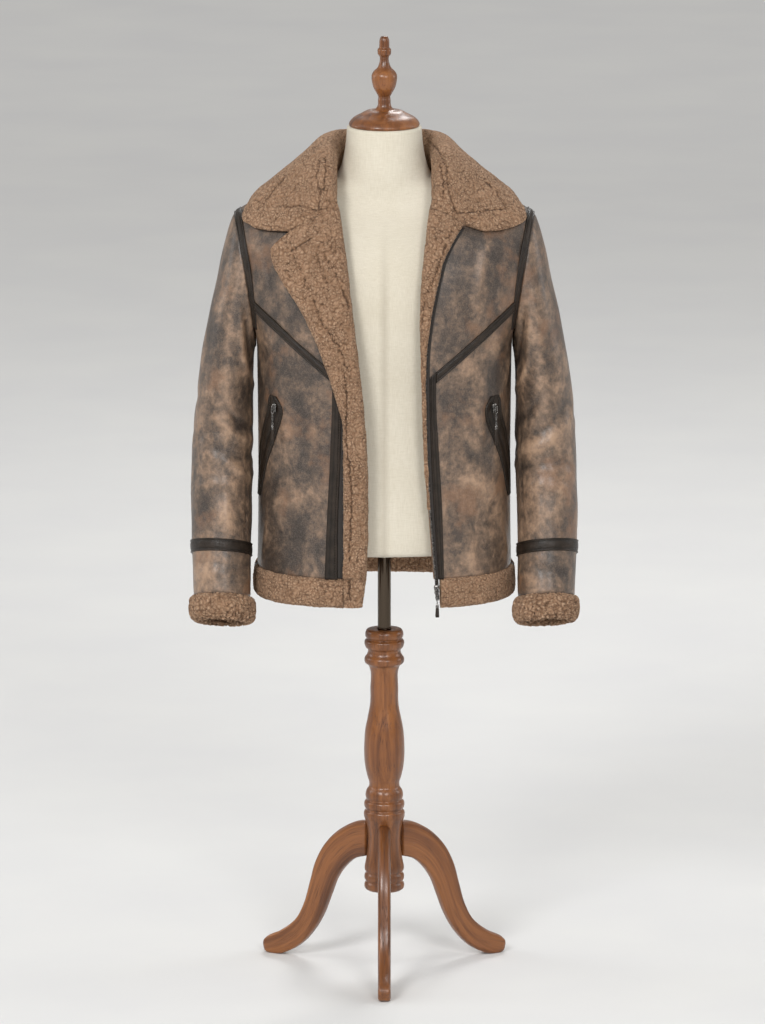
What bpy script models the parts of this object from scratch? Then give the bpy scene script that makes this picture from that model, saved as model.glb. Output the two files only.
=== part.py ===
"""Shearling coat on a dress form.

A hip-length sheepskin flying coat, worn open over a limbless linen dress form. The form stands on
a chromed pole, a turned wooden column and three curved legs. Metres, +Z up, the coat's front
towards -Y. R and L are the wearer's right and left: R is at -X.

The coat's outside is one surface, body_point(side, f, h). side is -1 for the front and 1 for the
back, f runs from the centre line (0) to the side seam or armhole (1), and h from the hem band (0)
by the underarm (1) to the shoulder seam (2). Panels are patches of a lattice on that surface, one
hide thick, and strips, welts and tapes are made from the same lattice points, moved out.
"""
import math

import bmesh
import bpy
import numpy as np
from mathutils import Matrix, Vector

# ------------------------------------------------------------------ driving sizes, in metres
GAP = 0.0003            # between neighbouring pieces
HIDE = 0.008            # sheepskin with its short wool
TRIM = 0.0016           # dark leather strip
LAPEL_LIFT = 0.0026     # clears the strips that the lapel covers
HEM_BOTTOM = 0.606
HEM_TOP = 0.650         # seam between panels and hem band
UNDERARM = 0.990
SECTION = 2.5           # squareness of the coat's level sections
FRONT_BEND = 2.2        # squareness of the chest towards the shoulder seam
BACK_BEND = 2.5
ARM_REACH = 0.035       # the armhole leans out by this from underarm to shoulder
ARM_LEAN = 1.3          # how late it leans out
ARM_DEPTH = 0.065       # half of the armhole's width, front to back
STRIP_WIDTH = 0.014
ARM_SETBACK = 0.0012    # from the strip's outer edge to the armhole seam
ROW_X = 0.080           # where the row tables give a row's inner height
NECK_X = 0.085          # neck point on the shoulder seam
NECK_BACK = 1.250       # height of the neckline at the centre back
ORIGIN_Y = 0.0360       # puts the middle of the whole box at y = 0
POLE_RADIUS = 0.0103
BORE_PLAY = 0.0004
POLE_FOOT = 0.345       # lower end of the pole, inside the column
BORE_FLOOR = 0.205
FORM_BOTTOM = 0.6785
TURNED_STEPS = 16       # facets round a turned piece


def table(names, *rows):
    """A short table with named columns and a row for each section."""
    return {name: np.array(column) for name, column in zip(names.split(), zip(*rows))}


BODY = table(
    "z      half_width front  back",
    (0.606, 0.1985,    0.140, 0.142),
    (0.650, 0.1968,    0.139, 0.141),
    (0.720, 0.1955,    0.139, 0.138),
    (0.800, 0.1950,    0.141, 0.135),
    (0.900, 0.1955,    0.144, 0.137),
    (0.990, 0.1965,    0.146, 0.141),
)
SHOULDER = table(
    "x      z",
    (0.000, 1.2880),
    (0.040, 1.2810),
    (0.085, 1.2620),
    (0.128, 1.2435),
    (0.170, 1.2295),
    (0.200, 1.2170),
    (0.2195, 1.2070),
    (0.2315, 1.1980),
    (0.250, 1.1800),
)
# Where each front's edge, its tape or facing, and its placket strip lie, as x at height z.
FRONT_R = table(
    "z      edge    tape    placket_in placket_out",
    (0.606, 0.0430, 0.0530, 0.0716,    0.0935),
    (0.650, 0.0373, 0.0520, 0.0718,    0.0919),
    (0.7456, 0.0342, 0.0510, 0.0712,   0.0880),
    (0.855, 0.0357, 0.0500, 0.0668,    0.0826),
    (0.979, 0.0478, 0.0580, 0.0668,    0.0810),
    (1.071, 0.0585, 0.0680, 0.0770,    0.0930),
    (1.147, 0.0676, 0.0770, 0.0880,    0.1050),
    (1.215, 0.0775, 0.0880, 0.1000,    0.1150),
    (1.262, 0.0850, 0.0950, 0.1080,    0.1250),
)
FRONT_L = table(
    "z      edge    tape    placket_in placket_out",
    (0.606, 0.0785, 0.0800, 0.0850,    0.0925),
    (0.650, 0.0768, 0.0783, 0.0833,    0.0915),
    (0.700, 0.0728, 0.0745, 0.0800,    0.0905),
    (0.777, 0.0672, 0.0692, 0.0752,    0.0878),
    (0.855, 0.0635, 0.0655, 0.0715,    0.0830),
    (0.934, 0.0615, 0.0635, 0.0695,    0.0790),
    (1.0185, 0.0605, 0.0655, 0.0715,   0.0830),
    (1.102, 0.0655, 0.0795, 0.0855,    0.0960),
    (1.162, 0.0720, 0.0985, 0.1045,    0.1150),
    (1.188, 0.0750, 0.1165, 0.1225,    0.1330),
    (1.215, 0.0775, 0.1250, 0.1310,    0.1420),
    (1.262, 0.0850, 0.1330, 0.1390,    0.1500),
)
# The pocket's inner and outer lip, as shares f.
POCKET = table(
    "z      lip_in lip_out",
    (0.650, 0.860, 0.930),
    (0.765, 0.850, 0.930),
    (0.820, 0.740, 0.880),
    (0.850, 0.665, 0.810),
    (0.888, 0.585, 0.735),
    (0.935, 0.515, 0.665),
    (1.000, 0.520, 0.680),
    (1.262, 0.520, 0.680),
)
# Rows of the front lattice: height at ROW_X and at the side seam, below the underarm.
LOW_ROWS = table(
    "inner  side",
    (0.650, 0.650),
    (0.705, 0.705),
    (0.765, 0.765),
    (0.820, 0.820),
    (0.870, 0.880),
    (0.912, 0.935),
    (0.928, 0.975),
)
# Rows that end on the armhole: height at ROW_X, degrees round the armhole from the underarm,
# and how far the row follows the shoulder seam's shape.
ARM_ROWS = table(
    "inner   turn   follow",
    (0.9370,   0.0, 0.0),
    (0.9430,  25.0, 0.0),
    (0.9500,  50.0, 0.0),
    (0.9584,  69.4, 0.0),
    (0.9670,  74.4, 0.0),
    (0.9756,  79.2, 0.0),
    (1.0250, 100.0, 0.1),
    (1.0900, 120.0, 0.3),
    (1.1550, 140.0, 0.6),
    (1.2150, 160.0, 0.8),
    (1.2360, 166.0, 0.9),
    (1.2515, 171.0, 0.95),
    (1.2610, 176.0, 1.0),
    (1.2642, 180.0, 1.0),
)
POCKET_ROWS = (2, 5)         # LOW_ROWS between which the welt lies
SEAM_ROW = 7 + 4             # the slanted seam in the whole lattice
UNDERARM_ROW = 7
SLEEVE_TURNS = np.array([0.0, 25.0, 50.0, 74.4, 100.0, 120.0, 140.0, 160.0, 170.0, 180.0])
BACK_LOW_ROWS = (0.650, 0.720, 0.800, 0.870, 0.935)
# Sleeve rings: outer and inner point in the front view, middle and half depth in y, forward tilt.
SLEEVE = table(
    "out_x   out_z   in_x    in_z    middle   depth   tilt",
    (0.2400, 1.1760, 0.1986, 0.9885,  0.000,  0.0665,  0.0),
    (0.2475, 1.1460, 0.1998, 0.9835,  0.000,  0.0680,  0.0),
    (0.2565, 1.1040, 0.2010, 0.9740,  0.000,  0.0695,  0.0),
    (0.2665, 1.0600, 0.2018, 0.9580,  0.000,  0.0700,  0.0),
    (0.2770, 1.0080, 0.2022, 0.9350,  0.000,  0.0695,  0.0),
    (0.2862, 0.9530, 0.2024, 0.9020, -0.001,  0.0675,  1.0),
    (0.2932, 0.8880, 0.2024, 0.8580, -0.005,  0.0650,  4.0),
    (0.2970, 0.8240, 0.2032, 0.8060, -0.014,  0.0620,  9.0),
    (0.2988, 0.7520, 0.2048, 0.7440, -0.031,  0.0575, 14.5),
    (0.2978, 0.6940, 0.2061, 0.6885, -0.0473, 0.0540, 17.5),
    (0.2975, 0.6845, 0.2062, 0.6790, -0.0503, 0.0535, 18.0),
    (0.2970, 0.6750, 0.2062, 0.6700, -0.0532, 0.0530, 18.0),
    (0.2955, 0.6430, 0.2064, 0.6390, -0.0630, 0.0515, 18.5),
    (0.2940, 0.6110, 0.2066, 0.6080, -0.0730, 0.0500, 18.5),
)
STRAP_ROWS = (9, 10, 11)     # strap's upper edge, the seam below it, its lower edge
# Wool cuff: distance below the leather's end, and swell of the outside and of the inside.
CUFF_FUR = table(
    "drop    outside inside",
    (0.0006, 0.0010, -0.0080),
    (0.0040, 0.0052, -0.0080),
    (0.0140, 0.0072, -0.0075),
    (0.0260, 0.0068, -0.0070),
    (0.0350, 0.0035, -0.0072),
    (0.0385, -0.0015, -0.0060),
)
# Wool hem band: height, and swell of the outside and of the inside.
HEM_FUR = table(
    "z      outside  inside",
    (HEM_BOTTOM, -0.0005, -0.0050),
    (0.6095, 0.0035, -0.0080),
    (0.6200, 0.0052, -0.0090),
    (0.6380, 0.0050, -0.0090),
    (0.6465, 0.0036, -0.0085),
    (HEM_TOP - GAP, 0.0008, -0.0080),
)
# Turned lapel of the wearer's right: height of each row at the fold and at the outer edge, and
# the outer edge's x.
LAPEL_R = table(
    "fold_z  outer_z outer_x",
    (0.6080, 0.6080, 0.0618),
    (0.6250, 0.6250, 0.0618),
    (0.6485, 0.6485, 0.0618),
    (0.6496, 0.6496, 0.0618),
    (0.7000, 0.7000, 0.0618),
    (0.7800, 0.7800, 0.0618),
    (0.8500, 0.8500, 0.0619),
    (0.9050, 0.8960, 0.0636),
    (0.9600, 0.9400, 0.0752),
    (1.0080, 0.9840, 0.0893),
    (1.0550, 1.0280, 0.1060),
    (1.1020, 1.0700, 0.1270),
    (1.1480, 1.1060, 0.1510),
    (1.1900, 1.1380, 0.1690),
)
# Seam between collar and lapels, on the front's surface.
GORGE = table(
    "x      z",
    (0.0600, 1.2230),
    (0.0775, 1.2142),
    (0.1080, 1.1990),
    (0.1390, 1.1830),
    (0.1560, 1.1705),
    (0.1720, 1.1570),
)
# The collar at points along the neckline: middle of its wall at the top of the stand, on the
# roll, half way down the fall and at the fall's edge. along runs from the centre back (0) to the
# neck point (1) and on to the front end (2).
COLLAR = table(
    "along stand_x stand_y stand_z roll_x roll_y roll_z mid_x mid_y mid_z edge_x edge_y edge_z",
    (0.00, 0.000,  0.080, 1.285, 0.000,  0.088, 1.3090, 0.000,  0.112, 1.262, 0.000,  0.1255, 1.2050),
    (0.40, 0.040,  0.071, 1.287, 0.044,  0.080, 1.3110, 0.062,  0.103, 1.265, 0.080,  0.1170, 1.2065),
    (0.75, 0.066,  0.046, 1.290, 0.074,  0.052, 1.3130, 0.104,  0.074, 1.269, 0.142,  0.0910, 1.2100),
    (1.00, 0.077,  0.006, 1.2900, 0.084,  0.006, 1.3130, 0.136,  0.016, 1.2715, 0.1900, 0.0220, 1.2260),
    (1.25, 0.078, -0.030, 1.2820, 0.086, -0.034, 1.3030, 0.145, -0.024, 1.2660, 0.2080, -0.0180, 1.2160),
    (1.50, 0.078, -0.060, 1.2660, 0.086, -0.066, 1.2850, 0.145, -0.050, 1.2510, 0.2165, -0.0480, 1.1970),
    (1.75, 0.078, -0.082, 1.2450, 0.085, -0.089, 1.2600, 0.128, -0.079, 1.2290, 0.1850, -0.0795, 1.1865),
    (2.00, 0.079, -0.0965, 1.2240, 0.084, -0.1040, 1.2330, 0.112, -0.1000, 1.2080, 0.1400, -0.0950, 1.1870),
)
COLLAR_THICK = 0.011
# The collar's end on that seam, across the collar: share of the way from the front edge to the
# notch, and each side's shift in x and height over the panel.
COLLAR_END = table(
    "share  wool_x  wool_lift leather_x leather_lift",
    (0.00, -0.0007, -0.0080, -0.0007, 0.0000),
    (0.00, -0.0055, -0.0070, -0.0007, 0.0015),
    (0.00, -0.0086, 0.0010, -0.0007, 0.0028),
    (0.00, -0.0050, 0.0088, 0.0010, 0.0028),
    (0.00, 0.0040, 0.0118, 0.0050, 0.0028),
    (0.18, 0.0000, 0.0126, 0.0000, 0.0028),
    (0.36, 0.0000, 0.0128, 0.0000, 0.0028),
    (0.58, 0.0000, 0.0126, 0.0000, 0.0028),
    (0.80, 0.0000, 0.0122, 0.0000, 0.0028),
    (0.96, 0.0000, 0.0110, 0.0000, 0.0032),
    (1.00, 0.0000, 0.0085, 0.0000, 0.0055),
)
NOTCH_X = {"R": 0.1400, "L": 0.1215}   # where the fall's front end stops, on each side
# Level sections of the dress form, whose shoulders carry the coat.
FORM = table(
    "z       half_width front  back   square",
    (FORM_BOTTOM, 0.1600, 0.108, 0.104, 2.3),
    (0.700, 0.1620, 0.110, 0.106, 2.3),
    (0.780, 0.1600, 0.109, 0.104, 2.3),
    (0.860, 0.1560, 0.106, 0.099, 2.3),
    (0.940, 0.1600, 0.109, 0.100, 2.3),
    (1.020, 0.1680, 0.116, 0.108, 2.3),
    (1.080, 0.1740, 0.116, 0.113, 2.3),
    (1.130, 0.1780, 0.108, 0.112, 2.3),
    (1.165, 0.1800, 0.092, 0.102, 2.3),
    (1.190, 0.1800, 0.075, 0.088, 2.2),
    (1.208, 0.1770, 0.063, 0.076, 2.1),
    (1.2170, 0.1700, 0.058, 0.069, 2.0),
    (1.2260, 0.1515, 0.055, 0.064, 2.0),
    (1.2350, 0.1250, 0.054, 0.062, 2.0),
    (1.2440, 0.1025, 0.054, 0.061, 2.0),
    (1.2525, 0.0787, 0.055, 0.0595, 2.0),
    (1.2660, 0.0690, 0.056, 0.059, 2.0),
    (1.2850, 0.0625, 0.0565, 0.058, 2.0),
    (1.3050, 0.0590, 0.0565, 0.0575, 2.0),
    (1.3340, 0.0565, 0.0565, 0.0565, 2.0),
)
# Turned profiles, top to bottom: height and radius.
NECK_CAP = table(
    "z       radius",
    (1.4730, 0.0050),
    (1.4700, 0.0066),
    (1.4590, 0.0078),
    (1.4560, 0.0079),
    (1.4535, 0.0101),
    (1.4490, 0.0104),
    (1.4450, 0.0098),
    (1.4430, 0.0080),
    (1.4300, 0.0083),
    (1.4250, 0.0105),
    (1.4190, 0.0165),
    (1.4140, 0.0192),
    (1.4095, 0.0197),
    (1.4030, 0.0190),
    (1.3940, 0.0168),
    (1.3850, 0.0120),
    (1.3790, 0.0092),
    (1.3745, 0.0098),
    (1.3690, 0.0098),
    (1.3640, 0.0112),
    (1.3595, 0.0160),
    (1.3585, 0.0255),
    (1.3525, 0.0375),
    (1.3465, 0.0480),
    (1.3410, 0.0530),
    (1.3370, 0.0545),
    (1.3346, 0.0535),
)
COLUMN = table(
    "z       radius",
    (0.5430, 0.0270),
    (0.5400, 0.0288),
    (0.5310, 0.0288),
    (0.5287, 0.0266),
    (0.5260, 0.0300),
    (0.5180, 0.0304),
    (0.5140, 0.0284),
    (0.5115, 0.0258),
    (0.5065, 0.0258),
    (0.5035, 0.0270),
    (0.4980, 0.0306),
    (0.4910, 0.0304),
    (0.4858, 0.0245),
    (0.4800, 0.0224),
    (0.4500, 0.0218),
    (0.4250, 0.0222),
    (0.4060, 0.0254),
    (0.3850, 0.0295),
    (0.3580, 0.0315),
    (0.3400, 0.0313),
    (0.3230, 0.0296),
    (0.3080, 0.0262),
    (0.2990, 0.0236),
    (0.2930, 0.0240),
    (0.2880, 0.0272),
    (0.2830, 0.0290),
    (0.2760, 0.0290),
    (0.2720, 0.0276),
    (0.2695, 0.0303),
    (0.2600, 0.0307),
    (0.2565, 0.0286),
    (0.2535, 0.0311),
    (0.2440, 0.0314),
    (0.2390, 0.0296),
    (0.1706, 0.0296),
    (0.1670, 0.0304),
    (0.1590, 0.0304),
    (0.1555, 0.0286),
    (0.1525, 0.0304),
    (0.1440, 0.0304),
    (0.1410, 0.0286),
    (0.1385, 0.0304),
    (0.1300, 0.0302),
    (0.1272, 0.0270),
)
# A leg's upper and lower outline: distance from the column's axis and height.
LEG_TOP = table(
    "reach   z",
    (0.0301, 0.2345),
    (0.0497, 0.2305),
    (0.0768, 0.2160),
    (0.1041, 0.1895),
    (0.1215, 0.1590),
    (0.1315, 0.1255),
    (0.1425, 0.0890),
    (0.1590, 0.0600),
    (0.1865, 0.0385),
    (0.2085, 0.0275),
    (0.2190, 0.0170),
)
LEG_LOW = table(
    "reach   z",
    (0.0301, 0.1780),
    (0.0497, 0.1715),
    (0.0678, 0.1575),
    (0.0850, 0.1343),
    (0.0969, 0.1055),
    (0.1085, 0.0767),
    (0.1245, 0.0490),
    (0.1460, 0.0240),
    (0.1690, 0.0080),
    (0.1900, 0.0000),
    (0.2180, 0.0000),
)
LEG_THICK = 0.020
SLIDER = (0.0085, 0.0050, 0.0140)   # width, height over the cloth, length
PULL_WIDTH = 0.0064
PULL_THICK = 0.0026


# ------------------------------------------------------------------ curves and the coat's form
def smooth(at, knots, values):
    """Cubic through a table's rows, with each row's slope taken from its neighbours."""
    slopes = np.gradient(values, knots)
    i = np.clip(np.searchsorted(knots, at) - 1, 0, len(knots) - 2)
    width = knots[i + 1] - knots[i]
    t = np.clip((at - knots[i]) / width, 0, 1)
    start = (2 * t**3 - 3 * t**2 + 1) * values[i] + (t**3 - 2 * t**2 + t) * width * slopes[i]
    return start + (3 * t**2 - 2 * t**3) * values[i + 1] + (t**3 - t**2) * width * slopes[i + 1]


def unit(vectors):
    """Vectors of length 1 along the last axis."""
    length = np.linalg.norm(vectors, axis=-1, keepdims=True)
    return vectors / np.maximum(length, 1e-12)


def ridge(x):
    """Height of the shoulder seam at x."""
    return smooth(x, SHOULDER["x"], SHOULDER["z"])


def section(side, h):
    """Half width, depth and seam or armhole x of the section at h, and its climb from 0 to 1."""
    low_z = HEM_TOP + (UNDERARM - HEM_TOP) * np.minimum(h, 1)
    low_width = smooth(low_z, BODY["z"], BODY["half_width"])
    low_depth = smooth(low_z, BODY["z"], BODY["front" if side < 0 else "back"])
    bend = FRONT_BEND if side < 0 else BACK_BEND
    rise = np.clip(h - 1, 0, 1) * math.pi / 2
    climb = np.sin(rise) ** (2 / bend)
    depth = low_depth * np.maximum(np.cos(rise), 0) ** (2 / bend)
    edge = low_width + ARM_REACH * climb**ARM_LEAN
    near = np.minimum(climb, 0.995)
    oval = ARM_DEPTH * np.sqrt(4 * near * (1 - near))
    share = oval / (low_depth * (1 - near**bend) ** (1 / bend))
    half_width = edge / (1 - share**SECTION) ** (1 / SECTION)
    return half_width, depth, edge, climb


def body_point(side, f, h):
    """Point of the coat's outside at +X: a superellipse section, drawn in to the shoulder seam."""
    half_width, depth, edge, climb = section(side, h)
    turn = f * np.arcsin(np.clip(edge / half_width, 0, 1) ** (SECTION / 2))
    x = half_width * np.sin(turn) ** (2 / SECTION)
    y = side * (depth * np.maximum(np.cos(turn), 0) ** (2 / SECTION) + GAP / 2)
    low = HEM_TOP + (UNDERARM - HEM_TOP) * h
    z = np.where(h <= 1, low, UNDERARM + climb * (ridge(x) - UNDERARM))
    return np.stack([x, y, z], axis=-1)


def body_normal(side, f, h):
    """Outward direction of the surface, from points a small step apart."""
    step = 1e-4
    over = body_point(side, np.minimum(f + step, 1), h) - body_point(side, np.maximum(f - step, 0), h)
    up = body_point(side, f, np.minimum(h + step, 2)) - body_point(side, f, h - step)
    return unit(np.cross(over, up) * -side)


def share_at(side, h, x):
    """The f of the point at x on the section at h."""
    half_width, _, edge, _ = section(side, h)
    whole = np.arcsin(np.clip(edge / half_width, 0, 1) ** (SECTION / 2))
    return np.arcsin(np.clip(x / half_width, 0, 1) ** (SECTION / 2)) / whole


def height_share(side, x, z):
    """The h of the point at x and z."""
    bend = FRONT_BEND if side < 0 else BACK_BEND
    climb = np.clip((z - UNDERARM) / (ridge(x) - UNDERARM), 0, 1)
    high = 1 + 2 / math.pi * np.arcsin(climb ** (bend / 2))
    return np.where(z <= UNDERARM, (z - HEM_TOP) / (UNDERARM - HEM_TOP), high)


def arm_share(side, turn):
    """The h at an angle in degrees round the armhole, from the underarm (0) to the top (180)."""
    bend = FRONT_BEND if side < 0 else BACK_BEND
    climb = (1 - np.cos(np.radians(turn))) / 2
    return 1 + 2 / math.pi * np.arcsin(climb ** (bend / 2))


def inset_share(side, h, width):
    """The f that lies a strip's width in from the side seam or armhole, at each h."""
    steps = np.linspace(0.6, 1, 81)
    shares = np.empty(len(h))
    for i, height in enumerate(h):
        points = body_point(side, steps, np.full(len(steps), height))
        lengths = np.append(0, np.cumsum(np.linalg.norm(np.diff(points, axis=0), axis=1)))
        shares[i] = np.interp(lengths[-1] - width, lengths, steps)
    return shares


def mirrored(points, hand):
    """The same points for the wearer's right (-X) or left (+X)."""
    return points * np.array([-1.0 if hand == "R" else 1.0, 1.0, 1.0])


# ------------------------------------------------------------------ lattices of the panels
def front_lattice(edges):
    """f and h of the front's lattice: rows from the hem to the shoulder, columns from the edge."""
    rows = len(LOW_ROWS["side"]) + len(ARM_ROWS["turn"])
    low = len(LOW_ROWS["side"])
    side_h = np.append(
        (LOW_ROWS["side"] - HEM_TOP) / (UNDERARM - HEM_TOP), arm_share(-1, ARM_ROWS["turn"])
    )
    side_point = body_point(-1, np.ones(rows), side_h)
    inner_z = np.append(LOW_ROWS["inner"], ARM_ROWS["inner"])
    follow = np.append(np.zeros(low), ARM_ROWS["follow"])
    names = ("edge", "tape", "placket_in", "placket_out")
    columns = len(names) + 6
    f = np.tile(np.linspace(0.1, 1, columns), (rows, 1))
    h = np.tile(side_h[:, None], (1, columns))
    inset = inset_share(-1, side_h, STRIP_WIDTH)
    for _ in range(12):
        point = body_point(-1, f, h)
        x = point[..., 0]
        across = (x - ROW_X) / (side_point[:, None, 0] - ROW_X)
        straight = inner_z[:, None] + (side_point[:, None, 2] - inner_z[:, None]) * across
        top = ridge(np.array(ROW_X)) + (SHOULDER["z"][7] - ridge(np.array(ROW_X))) * across
        z = straight + follow[:, None] * (ridge(x) - top)
        h = height_share(-1, x, z)
        h[-1] = 2
        for k, name in enumerate(names):
            f[:, k] = share_at(-1, h[:, k], smooth(z[:, k], edges["z"], edges[name]))
        lip_in = smooth(z[:, 6], POCKET["z"], POCKET["lip_in"])
        lip_out = smooth(z[:, 7], POCKET["z"], POCKET["lip_out"])
        f[:, 4] = f[:, 3] + (lip_in - f[:, 3]) / 3
        f[:, 5] = f[:, 3] + (lip_in - f[:, 3]) * 2 / 3
        f[:, 6] = lip_in
        f[:, 7] = np.minimum(lip_out, inset - 0.02)
        f[:, 8] = inset
        f[:, 9] = 1
        h[:, 9] = side_h
    return f, h


def back_lattice():
    """f and h of one half of the back: rows to the shoulder and neckline, columns from the centre."""
    side_h = np.append(
        (np.array(BACK_LOW_ROWS) - HEM_TOP) / (UNDERARM - HEM_TOP), arm_share(1, SLEEVE_TURNS)
    )
    neck = share_at(1, np.array(2.0), NECK_X)
    inset = inset_share(1, side_h, STRIP_WIDTH)
    shares = np.array([0, 0.35, 0.68, 0.9, 1]) * neck
    outer = np.array([0.40, 0.56, 0.71, 0.84])
    f = np.column_stack(
        [np.tile(np.append(shares, outer), (len(side_h), 1)), inset, np.ones(len(side_h))]
    )
    h = np.tile(side_h[:, None], (1, f.shape[1]))
    for _ in range(12):
        x = body_point(1, f, h)[..., 0]
        line = NECK_BACK + (ridge(np.array(NECK_X)) - NECK_BACK) * np.minimum(x / NECK_X, 1) ** 2
        top = np.where(x[-1] < NECK_X - 1e-5, height_share(1, x, line), 2.0)
        h = np.where(side_h[:, None] <= 1, side_h[:, None], 1 + (side_h[:, None] - 1) * (top - 1))
    return f, h


def surface(side, f, h):
    """Points and outward directions at a lattice."""
    return body_point(side, f, h), body_normal(side, f, h)


def trimmed(points, low=0.0, high=0.0, first=0.0, last=0.0):
    """Points of a patch drawn in at its four edges by the distances given."""
    points = points.copy()
    points[0] += unit(points[1] - points[0]) * low
    points[-1] += unit(points[-2] - points[-1]) * high
    points[:, 0] += unit(points[:, 1] - points[:, 0]) * first
    points[:, -1] += unit(points[:, -2] - points[:, -1]) * last
    return points


# ------------------------------------------------------------------ meshes and materials
def material(name, colour, roughness, metallic=0.0):
    """A plain Principled material."""
    made = bpy.data.materials.new(name)
    made.use_nodes = True
    shader = made.node_tree.nodes["Principled BSDF"]
    shader.inputs["Base Color"].default_value = (*colour, 1)
    shader.inputs["Roughness"].default_value = roughness
    shader.inputs["Metallic"].default_value = metallic
    return made


def add_object(name, mesh, finish, parent):
    """Put a mesh in the scene as a named piece under its parent."""
    piece = bpy.data.objects.new(name, mesh)
    mesh.materials.append(finish)
    PIECES.objects.link(piece)
    piece.parent = parent
    return piece


def mesh_of(name, vertices, faces, crease=40):
    """A smooth shaded mesh with its faces turned outwards."""
    mesh = bpy.data.meshes.new(name)
    mesh.from_pydata([tuple(map(float, v)) for v in vertices], [], faces)
    work = bmesh.new()
    work.from_mesh(mesh)
    bmesh.ops.recalc_face_normals(work, faces=work.faces)
    work.to_mesh(mesh)
    work.free()
    mesh.shade_smooth()
    mesh.set_sharp_from_angle(angle=math.radians(crease))
    return mesh


def wall(name, outer, inner, finish, parent, closed=False):
    """A solid between two like grids of points, joined round their edges.

    closed joins the last row of each grid to its first, which makes a tube or a ring. A quad is
    cut in two by where its corners lie, so that pieces with the same points stay parallel.
    """
    rows, columns = outer.shape[:2]
    vertices = np.concatenate([outer.reshape(-1, 3), inner.reshape(-1, 3)])
    half = rows * columns
    rank = np.tile(vertices[:half, 2] + 0.35 * np.abs(vertices[:half, 0]), 2)
    faces = []

    def quad(a, b, c, d):
        """Two triangles; the cut passes through the corner of the highest rank."""
        corners = [a, b, c, d]
        first = max(range(4), key=lambda i: (rank[corners[i]], corners[i] < half))
        a, b, c, d = corners[first:] + corners[:first]
        faces.extend([(a, b, c), (a, c, d)])

    for i in range(rows if closed else rows - 1):
        j = (i + 1) % rows
        for k in range(columns - 1):
            a, b = i * columns + k, i * columns + k + 1
            c, d = j * columns + k + 1, j * columns + k
            quad(a, b, c, d)
            quad(half + a, half + b, half + c, half + d)
        for k in (0, columns - 1):
            a, d = i * columns + k, j * columns + k
            quad(a, d, half + d, half + a)
    if not closed:
        for i in (0, rows - 1):
            for k in range(columns - 1):
                a, b = i * columns + k, i * columns + k + 1
                quad(a, b, half + b, half + a)
    return add_object(name, mesh_of(name, vertices, faces), finish, parent)


def turned(name, profile, finish, parent, bore=()):
    """A turned piece: its outline, top to bottom, with an optional bore walked back up."""
    points = list(zip(profile["radius"], profile["z"]))
    if not bore:
        points = [(0.0, points[0][1])] + points + [(0.0, points[-1][1])]
    else:
        points = [(0.0, bore[1])] + [(bore[0], bore[1]), (bore[0], points[0][1])] + points
        points = points + [(0.0, points[-1][1])]
    mesh = bpy.data.meshes.new(name)
    vertices = [(radius, 0.0, z) for radius, z in points]
    mesh.from_pydata(vertices, [(i, i + 1) for i in range(len(points) - 1)], [])
    piece = add_object(name, mesh, finish, parent)
    screw = piece.modifiers.new("turn", "SCREW")
    screw.steps = TURNED_STEPS
    screw.render_steps = TURNED_STEPS
    screw.use_merge_vertices = True
    screw.merge_threshold = 1e-5
    return piece


def box(name, size, centre, finish, parent):
    """A small block with its own origin at its centre, edges slightly rounded."""
    mesh = bpy.data.meshes.new(name)
    work = bmesh.new()
    bmesh.ops.create_cube(work, size=1)
    bmesh.ops.scale(work, verts=work.verts, vec=Vector(size))
    work.to_mesh(mesh)
    work.free()
    piece = add_object(name, mesh, finish, parent)
    piece.location = centre
    bevel = piece.modifiers.new("edges", "BEVEL")
    bevel.width = min(size) * 0.2
    bevel.segments = 1
    return piece


# ------------------------------------------------------------------ the scene and its frames
for old in list(bpy.data.objects):
    bpy.data.objects.remove(old, do_unlink=True)
PIECES = bpy.data.collections.new("shearling_coat_on_dress_form")
bpy.context.scene.collection.children.link(PIECES)


def frame(name, parent, location=(0, 0, 0)):
    """An empty that carries pieces."""
    empty = bpy.data.objects.new(name, None)
    empty.empty_display_size = 0.05
    empty.location = location
    empty.parent = parent
    PIECES.objects.link(empty)
    return empty


STAND = frame("stand_frame", None, (0, ORIGIN_Y, 0))
WORN = frame("form_frame", STAND)

LEATHER = material("distressed_leather", (0.20, 0.115, 0.075), 0.45)
DARK = material("dark_leather", (0.020, 0.013, 0.011), 0.35)
FLEECE = material("fleece", (0.42, 0.27, 0.17), 0.95)
METAL = material("zip_metal", (0.30, 0.28, 0.26), 0.3, 1.0)
TAPE = material("zip_tape", (0.03, 0.025, 0.02), 0.8)
LINEN = material("linen", (0.72, 0.66, 0.54), 0.8)
OAK = material("turned_wood", (0.28, 0.12, 0.04), 0.35)
CHROME = material("chrome", (0.60, 0.60, 0.60), 0.12, 1.0)


# ------------------------------------------------------------------ fronts and their trim
def raised(name, points, normals, height, finish, parent, **edges):
    """A strip on a panel: the panel's own points, moved out, with the strip's thickness."""
    lower = trimmed(points + normals * GAP, **edges)
    upper = trimmed(points + normals * (GAP + height), **edges)
    return wall(name, upper, lower, finish, parent)


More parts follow.
